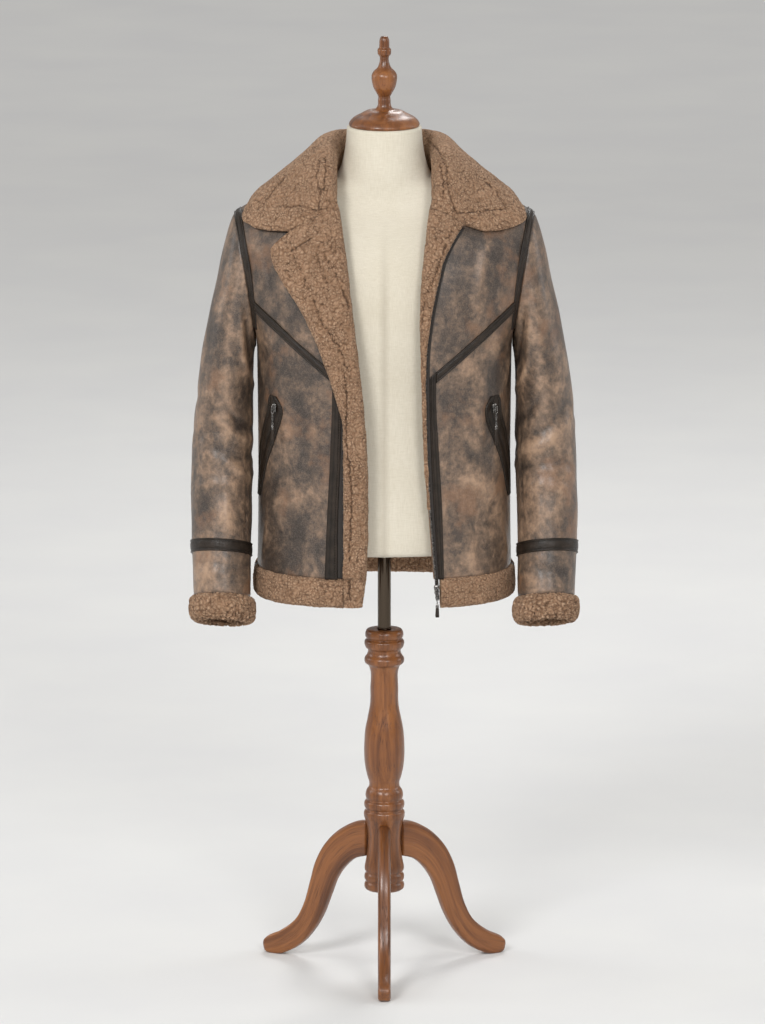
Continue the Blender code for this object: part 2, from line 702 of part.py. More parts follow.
def front(hand, edges):
    """One front: yoke and lower panel, the slanted strip, placket strip and pocket welt."""
    f, h = front_lattice(edges)
    points, normals = surface(-1, f, h)
    points, normals = mirrored(points, hand), mirrored(normals, hand)
    parts = {
        "lower": (slice(0, SEAM_ROW + 1), dict(high=GAP / 2)),
        "yoke": (slice(SEAM_ROW, None), dict(low=GAP / 2)),
    }
    for name, (rows, edge) in parts.items():
        outer = trimmed(points[rows], **edge)
        inner = trimmed((points - normals * HIDE)[rows], **edge)
        wall(f"front_{hand}_{name}", outer, inner, LEATHER, WORN)
    strip = (slice(SEAM_ROW - 1, SEAM_ROW + 2), slice(3, 9))
    raised(f"yoke_strip_{hand}", points[strip], normals[strip], TRIM, DARK, WORN, first=GAP, last=GAP)
    placket = (slice(0, SEAM_ROW + 2), slice(2, 4))
    raised(f"placket_strip_{hand}", points[placket], normals[placket], TRIM, DARK, WORN)
    welt = (slice(POCKET_ROWS[0], POCKET_ROWS[1] + 1), slice(6, 8))
    raised(f"pocket_welt_{hand}", points[welt], normals[welt], 2 * TRIM, DARK, WORN)
    return points, normals


front_points, front_normals = {}, {}
for hand, edges in (("R", FRONT_R), ("L", FRONT_L)):
    front_points[hand], front_normals[hand] = front(hand, edges)


# ------------------------------------------------------------------ back
back_f, back_h = back_lattice()
back_points, back_normals = surface(1, back_f, back_h)


def both_halves(grid):
    """A half grid, centre to side, and its mirror image as one grid from side to side."""
    flipped = mirrored(grid, "R")[:, :0:-1]
    return np.concatenate([flipped, grid], axis=1)


wall("back", both_halves(back_points), both_halves(back_points - back_normals * HIDE), LEATHER, WORN)


# ------------------------------------------------------------------ armhole strips
# The strips start 50 degrees from the underarm, where the sleeve leaves room for them.
for hand in ("R", "L"):
    start = UNDERARM_ROW + 2
    fore, fore_out = front_points[hand][start:, 8:10], front_normals[hand][start:, 8:10]
    start = len(BACK_LOW_ROWS) + 2
    aft = mirrored(back_points[start:, -2:], hand)[::-1]
    aft_out = mirrored(back_normals[start:, -2:], hand)[::-1]
    loop = np.concatenate([fore[:-1], (fore[-1:] + aft[:1]) / 2, aft[1:]])
    out = unit(np.concatenate([fore_out[:-1], fore_out[-1:] + aft_out[:1], aft_out[1:]]))
    raised(f"armhole_strip_{hand}", loop, out, TRIM, DARK, WORN, last=ARM_SETBACK)


# ------------------------------------------------------------------ hem bands and side tabs
def hem_band(name, side, shares, hands, finish, fur):
    """A band below the panels, between shares of f, following the coat's section."""
    z = np.tile(fur["z"][:, None], (1, len(shares)))
    h = (z - HEM_TOP) / (UNDERARM - HEM_TOP)
    f = np.tile(shares, (len(fur["z"]), 1))
    points, normals = surface(side, f, h)
    outer = points + normals * fur["outside"][:, None, None]
    inner = points + normals * fur["inside"][:, None, None]
    if hands == "both":
        outer, inner = both_halves(outer), both_halves(inner)
    else:
        outer, inner = mirrored(outer, hands), mirrored(inner, hands)
    return wall(name, outer, inner, finish, WORN)


TAB_SHARE = 0.965
hem_h = np.array((HEM_BOTTOM - HEM_TOP) / (UNDERARM - HEM_TOP))
hem_start = {"R": 0.0632, "L": 0.0872}
for hand, x in hem_start.items():
    first = share_at(-1, hem_h, np.array(x))
    shares = first + (TAB_SHARE - first) * np.array([0, 0.18, 0.36, 0.54, 0.70, 0.82, 0.92, 1])
    hem_band(f"hem_fur_{hand}", -1, shares, hand, FLEECE, HEM_FUR)
hem_band(
    "back_hem_fur", 1, TAB_SHARE * np.array([0, 0.18, 0.36, 0.54, 0.70, 0.82, 0.92, 1]),
    "both", FLEECE, HEM_FUR,
)
for hand in ("R", "L"):
    z = HEM_FUR["z"][1:-1]
    h = (z - HEM_TOP) / (UNDERARM - HEM_TOP)
    share = np.array([TAB_SHARE + 0.0013, 0.99])
    grid_f, grid_h = np.meshgrid(share, h)
    fore, fore_out = surface(-1, grid_f, grid_h)
    aft, aft_out = surface(1, grid_f[:, ::-1], grid_h)
    points = mirrored(np.concatenate([fore, aft], axis=1), hand)
    normals = mirrored(np.concatenate([fore_out, aft_out], axis=1), hand)
    wall(f"hem_tab_{hand}", points + normals * 0.0035, points - normals * HIDE, DARK, WORN)


# ------------------------------------------------------------------ lapels and the zip's tape
def on_front(x, z):
    """Point and outward direction of the front at x and z."""
    h = height_share(-1, x, z)
    return surface(-1, share_at(-1, h, x), h)


# Across a turned wool edge, from inside the fold: offset from the fold, and height over the panel.
TURN = table(
    "out_x   out_lift in_x    in_lift",
    (-0.0072, -0.0055, -0.0070, -0.0065),
    (-0.0088, 0.0010, -0.0007, -0.0082),
    (-0.0050, 0.0088, -0.0007, LAPEL_LIFT),
    (0.0040, 0.0118, 0.0040, LAPEL_LIFT),
)
FLAT = table(
    "share  out_lift",
    (0.30, 0.0128),
    (0.62, 0.0122),
    (0.92, 0.0095),
    (1.00, 0.0050),
)


def turned_lapel(name, hand, fold_x, outer_x, fold_z, outer_z, tip_x, solid_below=0.0):
    """A wool facing turned over the front's edge, from inside the fold to its outer edge.

    Its last row runs along the gorge to tip_x. Rows below solid_below stand alone, so their
    inside goes on to the hide's inside.
    """
    fold_x = np.append(fold_x, GORGE["x"][1])[:, None]
    outer_x = np.append(outer_x, tip_x)[:, None]
    slope = np.append((outer_z - fold_z) / (outer_x[:-1] - fold_x[:-1])[:, 0], 0)[:, None]
    start_z = np.append(fold_z, 0)[:, None]

    def face(turn_x, lift):
        x = np.concatenate([fold_x + turn_x, fold_x + (outer_x - fold_x) * FLAT["share"]], axis=1)
        z = start_z + slope * (x - fold_x)
        z[-1] = gorge(x[-1]) - GAP
        points, normals = on_front(x, z)
        return points + normals * lift[..., None]

    outer = face(TURN["out_x"], np.append(TURN["out_lift"], FLAT["out_lift"]))
    lift = np.tile(np.append(TURN["in_lift"], [LAPEL_LIFT] * 4), (len(fold_x), 1))
    lift[:-1][fold_z < solid_below] = -HIDE
    inner = face(TURN["in_x"], lift)
    return wall(name, mirrored(outer, hand), mirrored(inner, hand), FLEECE, WORN)


def gorge(x):
    """Height on the front's surface of the seam between collar and lapel."""
    return smooth(x, GORGE["x"], GORGE["z"])


fold_x = smooth(LAPEL_R["fold_z"], FRONT_R["z"], FRONT_R["edge"])
turned_lapel(
    "lapel_R", "R", fold_x, LAPEL_R["outer_x"], LAPEL_R["fold_z"], LAPEL_R["outer_z"], 0.1720,
    HEM_TOP - 2 * GAP,
)
fold_z = np.array([1.030, 1.065, 1.100, 1.135, 1.170, 1.195])
outer_z = np.array([1.030, 1.060, 1.090, 1.115, 1.143, 1.168])
turned_lapel(
    "lapel_L", "L", smooth(fold_z, FRONT_L["z"], FRONT_L["edge"]),
    smooth(outer_z, FRONT_L["z"], FRONT_L["tape"]) - GAP, fold_z, outer_z, 0.1195,
)
tape_z = np.array([0.618, 0.634, 0.6485, HEM_TOP - 2 * GAP])
tape_x = np.stack([smooth(tape_z, FRONT_L["z"], FRONT_L[c]) for c in ("tape", "placket_in")], axis=1)
end_points, end_normals = on_front(tape_x, np.tile(tape_z[:, None], (1, 2)))
rows = slice(0, SEAM_ROW + 6)
tape_points = np.concatenate([end_points, front_points["L"][rows, 1:3]])
tape_normals = np.concatenate([end_normals, front_normals["L"][rows, 1:3]])
lift = np.where(np.arange(len(tape_points)) < 3, -HIDE / 2, GAP)[:, None, None]
wall(
    "zip_L",
    trimmed(tape_points + tape_normals * (GAP + TRIM), first=GAP, last=GAP),
    trimmed(tape_points + tape_normals * lift, first=GAP, last=GAP),
    TAPE, WORN,
)


# ------------------------------------------------------------------ collar
def neckline():
    """The wearer's left neckline from the centre back to the front end, and where it lies along.

    The points are the panels' own, with the middles of their edges added, so that the collar's
    seam edge runs parallel to theirs. Returned: outside and inside point of the panels' edge,
    the direction out of the edge, and along from 0 by 1 at the neck point to 2.
    """
    neck = 4
    aft, aft_out = back_points[-1, : neck + 1], back_normals[-1, : neck + 1]
    start = len(LOW_ROWS["side"]) + len(ARM_ROWS["turn"]) - 5
    fore, fore_out = front_points["L"][start:, 0][::-1], front_normals["L"][start:, 0][::-1]
    outside = np.concatenate([aft, fore[1:]])
    outward = np.concatenate([aft_out, fore_out[1:]])
    along = np.append(np.linspace(0, 1, neck + 1), [1.25, 1.5, 1.75, 2.0])
    finer = np.array([0, 0.125, 0.25, 0.375, 0.5, 0.625, 0.75, 0.875, 1, 1.125, 1.25, 1.375, 1.5,
                      1.625, 1.75, 1.875, 2.0])
    place = np.stack([np.interp(finer, along, outside[:, i]) for i in range(3)], axis=-1)
    out = unit(np.stack([np.interp(finer, along, outward[:, i]) for i in range(3)], axis=-1))
    run = np.gradient(place, axis=0)
    away = unit(np.cross(out, run))
    away[away[:, 0] * place[:, 0] + away[:, 1] * place[:, 1] > 0] *= -1
    return place, place - out * HIDE, away, finer


def collar_half(hand):
    """Both faces of the collar from the centre back to one front end: wool and leather side."""
    outside, inside, away, along = neckline()
    columns = []
    for stage in ("stand", "roll", "mid", "edge"):
        axes = [smooth(along, COLLAR["along"], COLLAR[f"{stage}_{axis}"]) for axis in "xyz"]
        columns.append(np.stack(axes, axis=-1))
    late = np.clip((along - 1.5) / 0.5, 0, 1)
    shift = late**2 * (NOTCH_X[hand] - COLLAR["edge_x"][-1])
    columns[3][:, 0] += shift
    columns[2][:, 0] += shift / 2
    stand, roll, mid, edge = columns
    seam = (outside + inside) / 2 + away * GAP
    stages = np.stack([seam, stand, roll, mid, edge], axis=1)
    knots = np.array([0.0, 1.0, 1.7, 3.2, 5.0])
    across = np.array([0.0, 0.55, 1.0, 1.35, 1.7, 2.05, 2.6, 3.4, 4.2, 4.85, 5.0])
    middle = np.stack(
        [np.stack([smooth(across, knots, s[:, i]) for i in range(3)], axis=-1) for s in stages]
    )
    thick = np.interp(across, [0, 0.6, 1, 4.2, 4.85, 5], [0.7, 0.7, 1, 1, 0.8, 0.3]) * COLLAR_THICK / 2
    du = np.gradient(middle, axis=0)
    dv = np.gradient(middle, axis=1)
    out = unit(np.cross(du, dv))
    wool = middle + out * thick[None, :, None]
    leather = middle - out * thick[None, :, None]
    reach = NOTCH_X[hand] - GORGE["x"][1]
    for face, side in ((wool, "wool"), (leather, "leather")):
        x = GORGE["x"][1] + COLLAR_END[f"{side}_x"] + COLLAR_END["share"] * reach
        points, normals = on_front(x, gorge(x) + GAP)
        face[-1] = points + normals * COLLAR_END[f"{side}_lift"][:, None]
    wool[:, 0] = inside + away * 1.5 * GAP
    leather[:, 0] = outside + away * 1.5 * GAP
    return wool, leather


faces = {hand: collar_half(hand) for hand in ("R", "L")}
left_wool, left_leather = faces["L"]
right_wool, right_leather = (mirrored(face, "R")[:0:-1] for face in faces["R"])
wall(
    "collar", np.concatenate([right_wool, left_wool]),
    np.concatenate([right_leather, left_leather]), FLEECE, WORN,
)


# ------------------------------------------------------------------ sleeves
def ring_normal(ring):
    """Outward direction in a ring's own plane, at each of its points."""
    along = unit(np.roll(ring, -1, axis=0) - np.roll(ring, 1, axis=0))
    centre = ring.mean(axis=0)
    plane = unit(np.cross(ring - centre, along).sum(axis=0))
    out = np.cross(along, plane)
    return unit(out * np.sign((out * (ring - centre)).sum(axis=1, keepdims=True)))


def sleeve_rings():
    """Rings of the wearer's left sleeve: the armhole first, then the rows of SLEEVE."""
    turns = np.radians(np.concatenate([SLEEVE_TURNS, 360 - SLEEVE_TURNS[-2:0:-1]]))
    climb = (1 - np.cos(turns)) / 2
    x = BODY["half_width"][-1] + ARM_REACH * climb**ARM_LEAN
    z = UNDERARM + climb * (ridge(x) - UNDERARM)
    rings = [np.stack([x + GAP, -ARM_DEPTH * np.sin(turns), z], axis=-1)]
    for out_x, out_z, in_x, in_z, middle, depth, tilt in zip(*SLEEVE.values()):
        centre = np.array([(out_x + in_x) / 2, middle, (out_z + in_z) / 2])
        reach = np.array([(out_x - in_x) / 2, 0, (out_z - in_z) / 2])
        lean = math.radians(tilt)
        forward = depth * np.array([0, -math.cos(lean), math.sin(lean)])
        rings.append(centre - reach * np.cos(turns)[:, None] + forward * np.sin(turns)[:, None])
    return np.stack(rings, axis=1)


def sleeve(hand):
    """Sleeve, strap, cuff leather and wool cuff of one arm."""
    rings = mirrored(sleeve_rings(), hand)
    normals = np.stack([ring_normal(rings[:, i]) for i in range(rings.shape[1])], axis=1)
    top, seam, low = (row + 1 for row in STRAP_ROWS)
    upper, lower = slice(0, seam + 1), slice(seam, None)
    inside = rings - normals * HIDE
    wall(
        f"sleeve_{hand}", trimmed(rings[:, upper], last=GAP / 2),
        trimmed(inside[:, upper], last=GAP / 2), LEATHER, WORN, closed=True,
    )
    wall(
        f"cuff_{hand}", trimmed(rings[:, lower], first=GAP / 2),
        trimmed(inside[:, lower], first=GAP / 2), LEATHER, WORN, closed=True,
    )
    strap = slice(top, low + 1)
    wall(
        f"cuff_band_{hand}", rings[:, strap] + normals[:, strap] * (GAP + TRIM),
        rings[:, strap] + normals[:, strap] * GAP, DARK, WORN, closed=True,
    )
    last, out = rings[:, -1], normals[:, -1]
    down = unit(rings[:, -1].mean(axis=0) - rings[:, -2].mean(axis=0))
    drop = down * CUFF_FUR["drop"][:, None]
    outer = last[:, None] + drop + out[:, None] * CUFF_FUR["outside"][:, None]
    inner = last[:, None] + drop + out[:, None] * CUFF_FUR["inside"][:, None]
    wall(f"cuff_fur_{hand}", outer, inner, FLEECE, WORN, closed=True)


for hand in ("R", "L"):
    sleeve(hand)


# ------------------------------------------------------------------ zip sliders and pulls
def zip_end(name, x, z, hand, height, length):
    """A slider on the front at x and z, and the pull that hangs on a hinge before it.

    Both frames have X along the hinge, -Y out of the cloth and -Z down along it.
    """
    point, normal = on_front(np.array([x]), np.array([z]))
    point, normal = Vector(mirrored(point, hand)[0]), Vector(mirrored(normal, hand)[0])
    across = Vector((0, 0, 1)).cross(normal).normalized()
    turn = Matrix((across, -normal, across.cross(-normal))).transposed().to_euler()
    seat = height + GAP + SLIDER[1] / 2
    slider = box(f"zip_slider_{name}", SLIDER, point + normal * seat, METAL, WORN)
    slider.rotation_euler = turn
    front_of_slider = seat + (SLIDER[1] + PULL_THICK) / 2 + GAP
    hinge = frame(f"pull_hinge_{name}", WORN, point + normal * front_of_slider)
    hinge.rotation_euler = turn
    box(f"zip_pull_{name}", (PULL_WIDTH, PULL_THICK, length), (0, 0, -length / 2), METAL, hinge)


zip_end("front", 0.0795, 0.635, "L", TRIM + GAP * 2, 0.043)
zip_end("R", 0.1645, 0.912, "R", 2 * TRIM + GAP, 0.058)
zip_end("L", 0.1645, 0.912, "L", 2 * TRIM + GAP, 0.058)


# ------------------------------------------------------------------ dress form and stand
def torso():
    """The form's body: level superellipse rings from its flat bottom to the top of the neck."""
    z = np.concatenate([FORM["z"][:1], np.linspace(0.72, 1.10, 7), FORM["z"][7:]])
    columns = {name: smooth(z, FORM["z"], FORM[name]) for name in ("half_width", "front", "back", "square")}
    turns = np.linspace(0, 2 * math.pi, 28, endpoint=False)
    cosine, sine = np.cos(turns), np.sin(turns)
    power = 2 / columns["square"][:, None]
    x = columns["half_width"][:, None] * np.sign(cosine) * np.abs(cosine) ** power
    depth = np.where(sine < 0, columns["front"][:, None], columns["back"][:, None])
    y = depth * np.sign(sine) * np.abs(sine) ** power
    points = np.stack([x, y, np.tile(z[:, None], (1, len(turns)))], axis=-1)
    rows, columns_count = points.shape[:2]
    faces = []
    for i in range(rows - 1):
        for k in range(columns_count):
            n = (k + 1) % columns_count
            a, b = i * columns_count + k, i * columns_count + n
            faces.append((a, b, b + columns_count, a + columns_count))
    faces.append(tuple(range(columns_count))[::-1])
    faces.append(tuple((rows - 1) * columns_count + k for k in range(columns_count)))
    return add_object("torso", mesh_of("torso", points.reshape(-1, 3), faces, 60), LINEN, WORN)


torso()
turned("neck_cap", NECK_CAP, OAK, WORN)
pole = table("z radius", (FORM_BOTTOM - GAP, POLE_RADIUS), (POLE_FOOT, POLE_RADIUS))
turned("pole", pole, CHROME, WORN)
turned("column", COLUMN, OAK, STAND, bore=(POLE_RADIUS + BORE_PLAY, BORE_FLOOR))


def leg(number, degrees):
    """A flat curved leg, sawn from a plank, tenoned to the column and turned to its direction."""
    steps = np.linspace(0, len(LEG_TOP["z"]) - 1, 17)
    index = np.arange(len(LEG_TOP["z"]))
    top = [(smooth(s, index, LEG_TOP["reach"]), smooth(s, index, LEG_TOP["z"])) for s in steps]
    low = [(smooth(s, index, LEG_LOW["reach"]), smooth(s, index, LEG_LOW["z"])) for s in steps]
    low = [(reach, max(z, 0.0)) for reach, z in low]
    outline = [(float(r), 0.0, float(z)) for r, z in top + low[::-1]]
    mesh = bpy.data.meshes.new(f"leg_{number}")
    mesh.from_pydata(outline, [], [tuple(range(len(outline)))])
    piece = add_object(f"leg_{number}", mesh, OAK, STAND)
    piece.rotation_euler = (0, 0, math.radians(degrees))
    plank = piece.modifiers.new("plank", "SOLIDIFY")
    plank.thickness = LEG_THICK
    plank.offset = 0
    edges = piece.modifiers.new("edges", "BEVEL")
    edges.width = 0.002
    edges.segments = 1
    edges.limit_method = "ANGLE"
    edges.angle_limit = math.radians(60)
    return piece


for number, degrees in enumerate((-90, 30, 150), start=1):
    leg(number, degrees)
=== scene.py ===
import math

import bpy
import numpy as np
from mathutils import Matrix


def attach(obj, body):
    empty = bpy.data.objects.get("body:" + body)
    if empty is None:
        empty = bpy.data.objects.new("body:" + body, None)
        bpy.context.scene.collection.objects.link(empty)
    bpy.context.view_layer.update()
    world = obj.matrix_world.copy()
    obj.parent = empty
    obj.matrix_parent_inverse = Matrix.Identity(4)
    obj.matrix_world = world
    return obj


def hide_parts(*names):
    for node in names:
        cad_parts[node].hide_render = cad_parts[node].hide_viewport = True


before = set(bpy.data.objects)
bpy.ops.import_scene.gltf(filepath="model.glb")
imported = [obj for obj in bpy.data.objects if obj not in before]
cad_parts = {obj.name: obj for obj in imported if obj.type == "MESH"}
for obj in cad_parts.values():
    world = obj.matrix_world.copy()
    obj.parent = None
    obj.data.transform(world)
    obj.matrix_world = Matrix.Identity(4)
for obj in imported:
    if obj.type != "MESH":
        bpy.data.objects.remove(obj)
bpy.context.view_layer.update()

# ---------------------------------------------------------------- view, floor and studio light
# A long lens a little above the coat's middle, a wide pale floor, and large soft lamps: the two
# brightest before the coat, weaker ones round it, and three aimed at the floor far from the coat.
ORIGIN_Y = 0.0360                 # the coat's own middle plane lies this far back
CAMERA_DISTANCE, CAMERA_LIFT = 14.0, math.radians(11.5)
AIM_X, AIM_Z = -0.0028, 0.7286    # the middle of the view
camera = bpy.data.objects.new("camera", bpy.data.cameras.new("camera"))
camera.data.lens = 317.5
camera.data.clip_end = 60
camera.location = (AIM_X, ORIGIN_Y - CAMERA_DISTANCE * math.cos(CAMERA_LIFT),
                   AIM_Z + CAMERA_DISTANCE * math.sin(CAMERA_LIFT))
camera.rotation_euler = (math.pi / 2 - CAMERA_LIFT, 0, 0)
bpy.context.scene.collection.objects.link(camera)
bpy.context.scene.camera = camera
bpy.context.scene.view_settings.view_transform = "Standard"


class Wire:
    """A socket of a finish's nodes. Arithmetic with wires and numbers adds Math nodes."""

    def __init__(self, tree, socket=None):
        self.tree, self.socket = tree, socket

    def node(self, kind, settings=(), inputs=(), out=0):
        """A new node: type, settings, the values or links of its sockets, and the output used."""
        made = self.tree.nodes.new("ShaderNode" + kind)
        for name, value in dict(settings).items():
            if name == "stops":
                ramp = made.color_ramp.elements
                while len(ramp) < len(value):
                    ramp.new(0.5)
                for stop, (place, colour) in zip(ramp, value):
                    stop.position, stop.color = place, (*colour, 1)
            else:
                setattr(made, name, value)
        for name, value in dict(inputs).items():
            if isinstance(value, Wire):
                self.tree.links.new(value.socket, made.inputs[name])
            else:
                made.inputs[name].default_value = value
        return Wire(self.tree, made.outputs[out])

    def math(self, operation, *values):
        return self.node("Math", {"operation": operation}, enumerate(values))

    def __add__(self, other):
        return self.math("ADD", self, other)

    def __sub__(self, other):
        return self.math("SUBTRACT", self, other)

    def __rsub__(self, other):
        return self.math("SUBTRACT", other, self)

    def __mul__(self, other):
        return self.math("MULTIPLY", self, other)

    __radd__, __rmul__ = __add__, __mul__

    def __pow__(self, other):
        return self.math("POWER", self, other)

    def between(self, low, high):
        """0 where the wire is low or less, 1 where it is high or more."""
        return self.node("MapRange", {"interpolation_type": "SMOOTHSTEP"},
                         {"Value": self, "From Min": low, "From Max": high})

    def mix(self, factor, first, second):
        """From the first colour to the second as factor goes from 0 to 1."""
        colours = {0: factor, 6: first, 7: second}
        return self.node("Mix", {"data_type": "RGBA"}, colours, 2)

    def noise(self, place, scale, detail=3.0, rough=0.5, twist=0.0):
        return self.node("TexNoise", inputs={"Vector": place, "Scale": scale, "Detail": detail,
                                             "Roughness": rough, "Distortion": twist})

    def drawn(self, place, scales, *rest):
        """Noise drawn out along the axes, with a scale for each of them."""
        place = self.node("Mapping", inputs={"Vector": place, "Scale": scales})
        return self.noise(place, 1.0, *rest)

    def ramp(self, *stops):
        return self.node("ValToRGB", {"stops": stops}, {"Fac": self})

    def bump(self, height, distance, under=None):
        """A Bump node on a height in metres, on top of another one."""
        inputs = {"Height": height, "Distance": distance}
        return self.node("Bump", inputs=inputs if under is None else {**inputs, "Normal": under})

    def place(self):
        return self.node("TexCoord", out=3)

    def attribute(self, name, out=0):
        return self.node("Attribute", {"attribute_name": name}, out=out)


def finish(name, **plain):
    """A new material with the shader's plain values set: its first wire, and what ends it."""
    made = bpy.data.materials.new(name)
    made.use_nodes = True
    shader = made.node_tree.nodes["Principled BSDF"]
    for socket, value in plain.items():
        shader.inputs[socket.replace("_", " ")].default_value = value

    def end(**wires):
        for socket, wire in wires.items():
            made.node_tree.links.new(wire.socket, shader.inputs[socket.replace("_", " ")])
        return made

    return Wire(made.node_tree), end


wire, end = finish("pale_paper", Roughness=1.0, Specular_IOR_Level=0.0)
tone = wire.noise(wire.place(), 3.0)
PAPER = end(Base_Color=tone.ramp((0.3, (0.72, 0.72, 0.72)), (0.7, (0.75, 0.75, 0.74))))


def patch(rows, columns, wrap_rows=False, wrap_columns=False, start=0, flip=False):
    """The quads of a grid of points, row by row, joined up where it wraps."""
    i, k = np.meshgrid(np.arange(rows if wrap_rows else rows - 1),
                       np.arange(columns if wrap_columns else columns - 1), indexing="ij")
    j, n = (i + 1) % rows, (k + 1) % columns
    quads = np.stack([i * columns + k, i * columns + n, j * columns + n, j * columns + k], axis=-1)
    quads = quads.reshape(-1, 4) + start
    return quads[:, ::-1] if flip else quads


def volume(points, faces):
    """Six times the space in a closed skin, below 0 where its faces point in."""
    return sum(np.einsum("ij,ij->", points[f[:, 0]], np.cross(points[f[:, k]], points[f[:, k + 1]]))
               for f in faces for k in range(1, f.shape[1] - 1))


def build(name, points, faces, finishes, index=None, **attributes):
    """A smooth mesh from points and arrays of faces, turned so that a closed one faces out.

    index gives each face's finish. attributes are numbers or vectors at the points.
    """
    points = points.reshape(-1, 3)
    if volume(points, faces) < 0:
        faces = [f[:, ::-1] for f in faces]
    mesh = bpy.data.meshes.new(name)
    mesh.vertices.add(len(points))
    mesh.vertices.foreach_set("co", points.astype(np.float32).ravel())
    corners = np.concatenate([f.ravel() for f in faces])
    sizes = np.concatenate([np.full(len(f), f.shape[1]) for f in faces])
    mesh.loops.add(len(corners))
    mesh.loops.foreach_set("vertex_index", corners.astype(np.int32))
    mesh.polygons.add(len(sizes))
    mesh.polygons.foreach_set("loop_start", (np.cumsum(sizes) - sizes).astype(np.int32))
    for made in finishes:
        mesh.materials.append(made)
    if index is not None:
        mesh.polygons.foreach_set("material_index", index.astype(np.int32))
    for key, values in attributes.items():
        vector = values.reshape(len(points), -1).shape[1] == 3
        layer = mesh.attributes.new(key, "FLOAT_VECTOR" if vector else "FLOAT", "POINT")
        layer.data.foreach_set("vector" if vector else "value", values.astype(np.float32).ravel())
    mesh.update(calc_edges=True)
    mesh.validate()
    mesh.shade_smooth()
    piece = bpy.data.objects.new(name, mesh)
    bpy.context.scene.collection.objects.link(piece)
    return piece


FLOOR_REACH, FLOOR_POINTS = 40, 9
spread = np.linspace(-FLOOR_REACH, FLOOR_REACH, FLOOR_POINTS)
across, along = np.meshgrid(spread, spread, indexing="ij")
build("floor", np.stack([across, along, 0 * along], axis=-1),
               [patch(FLOOR_POINTS, FLOOR_POINTS)], [PAPER])


def unit(vectors):
    """Vectors of length 1 along the last axis."""
    return vectors / np.maximum(np.linalg.norm(vectors, axis=-1, keepdims=True), 1e-12)


LAMPS = (                         # name, place, where it aims, size, watts
    ("key", (-2.8, -5.9, 4.6), (0, 0, 0.9), 2.3, 280.0),
    ("front", (2.0, -7.0, 4.2), (0, 0, 0.9), 2.2, 200.0),
    ("left", (-4.0, 1.0, 1.8), (0, 0, 0.9), 1.4, 20.0),
    ("right", (4.0, 1.0, 1.8), (0, 0, 0.9), 1.4, 20.0),
    ("back", (0.8, 3.6, 4.2), (0, 0, 0.9), 1.8, 85.0),
    ("floor_back", (0, 10.0, 7.0), (0, 10.0, 0), 8.0, 160.0),
    ("floor_left", (-10.0, 0, 7.0), (-10.0, 0, 0), 8.0, 160.0),
    ("floor_right", (10.0, 0, 7.0), (10.0, 0, 0), 8.0, 160.0),
)
for name, place, target, size, watts in LAMPS:
    lamp = bpy.data.objects.new(name, bpy.data.lights.new(name, "AREA"))
    lamp.data.shape, lamp.data.size, lamp.data.energy = "DISK", size, watts
    lamp.location = place
    lamp.visible_camera = False
    aim = unit(np.array(target) - np.array(place))
    lamp.rotation_euler = (math.pi - math.acos(aim[2]), 0, math.atan2(aim[1], aim[0]) - math.pi / 2)
    bpy.context.scene.collection.objects.link(lamp)
world = bpy.data.worlds.new("studio")
bpy.context.scene.world = world
world.use_nodes = True
sky = world.node_tree.nodes["Background"].inputs
sky["Color"].default_value = (1.0, 0.98, 0.95, 1)
sky["Strength"].default_value = 0.36

# ---------------------------------------------------------------- turned column
# The stand's upright, one length of oak turned on a lathe and stained, with a bore down its
# middle that the form's pole slides in.
def table(names, *rows):
    """A short table with named columns and a row for each section."""
    return {name: np.array(column) for name, column in zip(names.split(), zip(*rows))}


def smooth(at, knots, values):
    """Cubic through values at the knots, with each knot's slope taken from its neighbours."""
    values = np.asarray(values, float)
    slopes = np.gradient(values, knots, axis=0)
    i = np.clip(np.searchsorted(knots, at) - 1, 0, len(knots) - 2)
    width = knots[i + 1] - knots[i]
    t = np.clip((at - knots[i]) / width, 0, 1)
    more = (...,) + (None,) * (values.ndim - 1)
    width, t = width[more], t[more]
    start = (2 * t**3 - 3 * t**2 + 1) * values[i] + (t**3 - 2 * t**2 + t) * width * slopes[i]
    return start + (3 * t**2 - 2 * t**3) * values[i + 1] + (t**3 - t**2) * width * slopes[i + 1]


def resample(grid, step, axis=0, wrap=False, even=False):
    """Points of a grid spaced a step apart along an axis, on cubics through its own points."""
    grid = np.moveaxis(grid, axis, 0)
    if wrap:
        grid = np.concatenate([grid[-3:], grid, grid[:4]])
    lengths = np.linalg.norm(np.diff(grid, axis=0), axis=-1)
    knots = np.append(0, np.cumsum(lengths.reshape(len(lengths), -1).mean(axis=1)))
    first, last = (knots[3], knots[-4]) if wrap else (0.0, knots[-1])
    count = max(math.ceil((last - first) / step), 2)
    count += count % 2 if even else 0
    at = np.linspace(first, last, count + 1)
    return np.moveaxis(smooth(at[:-1] if wrap else at, knots, grid), 0, axis)


def circle(count):
    """Angles once round, evenly spaced."""
    return np.linspace(0, 2 * math.pi, count, endpoint=False)


def fan_closed(rings):
    """Points and faces of a solid of level rings, closed by a fan round the middle of each end."""
    rows, sides = rings.shape[:2]
    k = np.arange(sides)
    n, last = (k + 1) % sides, (rows - 1) * sides
    fans = [np.stack([n, k, np.full(sides, rows * sides)], axis=-1),
            np.stack([last + k, last + n, np.full(sides, rows * sides + 1)], axis=-1)]
    points = np.concatenate([rings.reshape(-1, 3), rings[[0, -1]].mean(axis=1)])
    return points, [patch(rows, sides, wrap_columns=True), *fans]


